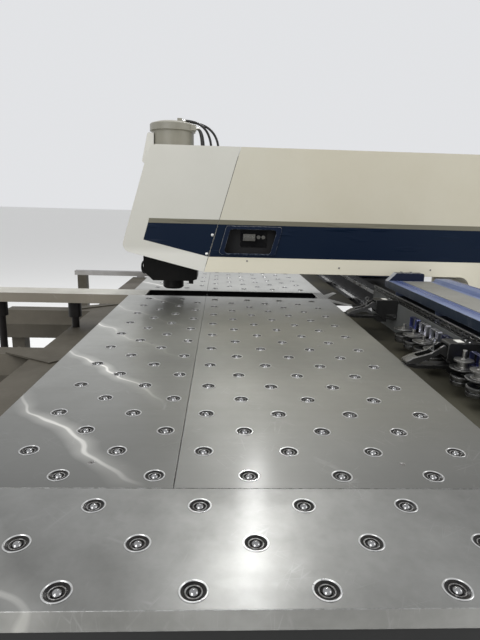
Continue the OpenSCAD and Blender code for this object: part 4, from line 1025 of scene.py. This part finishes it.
# %% Clamp screws and tags
RAIL_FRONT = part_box("rail_beam")[0][1]
CLAMP_TOP = TABLE_TOP + 0.112
CLAMPS_X = (0.711, 1.772, 2.833)
TAG_HALF = 0.024
TAG_REACH = (0.100, 0.066)
SCREW_REACH = 0.040
SCREW_HALF = 0.020
socket_head = [
    (0.0063, -0.012), (0.0063, 0.0015), (0.0056, 0.0022), (0.0030, 0.0022), (0.0028, -0.002)]

tags = bmesh.new()
sockets = bmesh.new()
for x in CLAMPS_X:
    chamfered(tags, (x - TAG_HALF, RAIL_FRONT - TAG_REACH[0], CLAMP_TOP - 0.0005),
              (x + TAG_HALF, RAIL_FRONT - TAG_REACH[1], CLAMP_TOP + 0.0012), 0.0004)
    for side in (-SCREW_HALF, SCREW_HALF):
        turned(sockets, socket_head, (x + side, RAIL_FRONT - SCREW_REACH, CLAMP_TOP), (0, 0, 1))
finished(tags, "clamp_tags", "tool_rail", "cover_white", smooth=False)
finished(sockets, "clamp_screws", "tool_rail", "bright_steel")
print("clamp tops at", round(CLAMP_TOP, 3), "m, rail front at", round(RAIL_FRONT, 3), "m")

# %% [markdown]
# Two hexagon bolts hold the end block of each hood.

# %% Hood bolts
HOOD_END_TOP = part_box("hood_ends")[1][2]
BOLT_X = 0.44
BOLT_YS = (1.706, 1.777)
hexagon_head = [
    (0.0135, -0.001), (0.0135, 0.0015), (0.0105, 0.0016), (0.0105, 0.0075), (0.0085, 0.0090)]

bolts = bmesh.new()
for y in BOLT_YS:
    for side in (1, -1):
        turned(bolts, hexagon_head, (side * BOLT_X, y, HOOD_END_TOP), (0, 0, 1), sides=6)
finished(bolts, "hood_bolts", "cross_slide", "screw_steel", smooth=False)
print("hood ends to", round(HOOD_END_TOP, 3), "m")

# %% [markdown]
# Short rigid pipes loop over the front of the head casting, from its foot up under the
# nose. A pipe is a circle that is carried along a smooth line through a few points.

# %% A pipe along a smooth line
def smooth_line(points, steps):
    """A line that bends smoothly through the points, with a few steps between each two."""
    line = [Vector(p) for p in points]
    line = [2 * line[0] - line[1]] + line + [2 * line[-1] - line[-2]]
    path = []
    for p0, p1, p2, p3 in zip(line, line[1:], line[2:], line[3:]):
        for k in range(steps):
            t = k / steps
            path.append(0.5 * (
                2 * p1 + (p2 - p0) * t + (2 * p0 - 5 * p1 + 4 * p2 - p3) * t ** 2
                + (3 * p1 - p0 - 3 * p2 + p3) * t ** 3))
    return path + [line[-2]]


def swept(build, points, radius, sides=10, steps=6):
    """Adds a pipe through the points to build."""
    path = smooth_line(points, steps)
    loops = []
    for k, centre in enumerate(path):
        ahead_here = (path[min(k + 1, len(path) - 1)] - path[max(k - 1, 0)]).normalized()
        across = ahead_here.cross(Vector((1, 0, 0))).normalized()
        other = ahead_here.cross(across)
        loops.append([build.verts.new(centre + x * across + y * other) for x, y in circle(radius, sides)])
    skinned(build, loops)


print("makers ready:", smooth_line.__name__, swept.__name__)

# %% Pipes on the casting
CASTING_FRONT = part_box("head_casting")[0][1]
PIPE_RADIUS = 0.006
PIPE_ENDS = CASTING_FRONT + 0.010
PIPE_PLACES = ((-0.075, 0.020), (-0.015, 0.030), (0.045, 0.024), (0.095, 0.018))

pipes = bmesh.new()
for x, reach in PIPE_PLACES:
    swept(pipes, (
        (x, PIPE_ENDS, 1.165), (x, CASTING_FRONT - 0.6 * reach, 1.155),
        (x, CASTING_FRONT - reach, 1.115), (x, CASTING_FRONT - 0.5 * reach, 1.080),
        (x, PIPE_ENDS, 1.070)), PIPE_RADIUS)
finished(pipes, "casting_pipes", "machine_frame", "hose_rubber")
print("casting front at", round(CASTING_FRONT, 3), "m; pipes:", len(PIPE_PLACES))
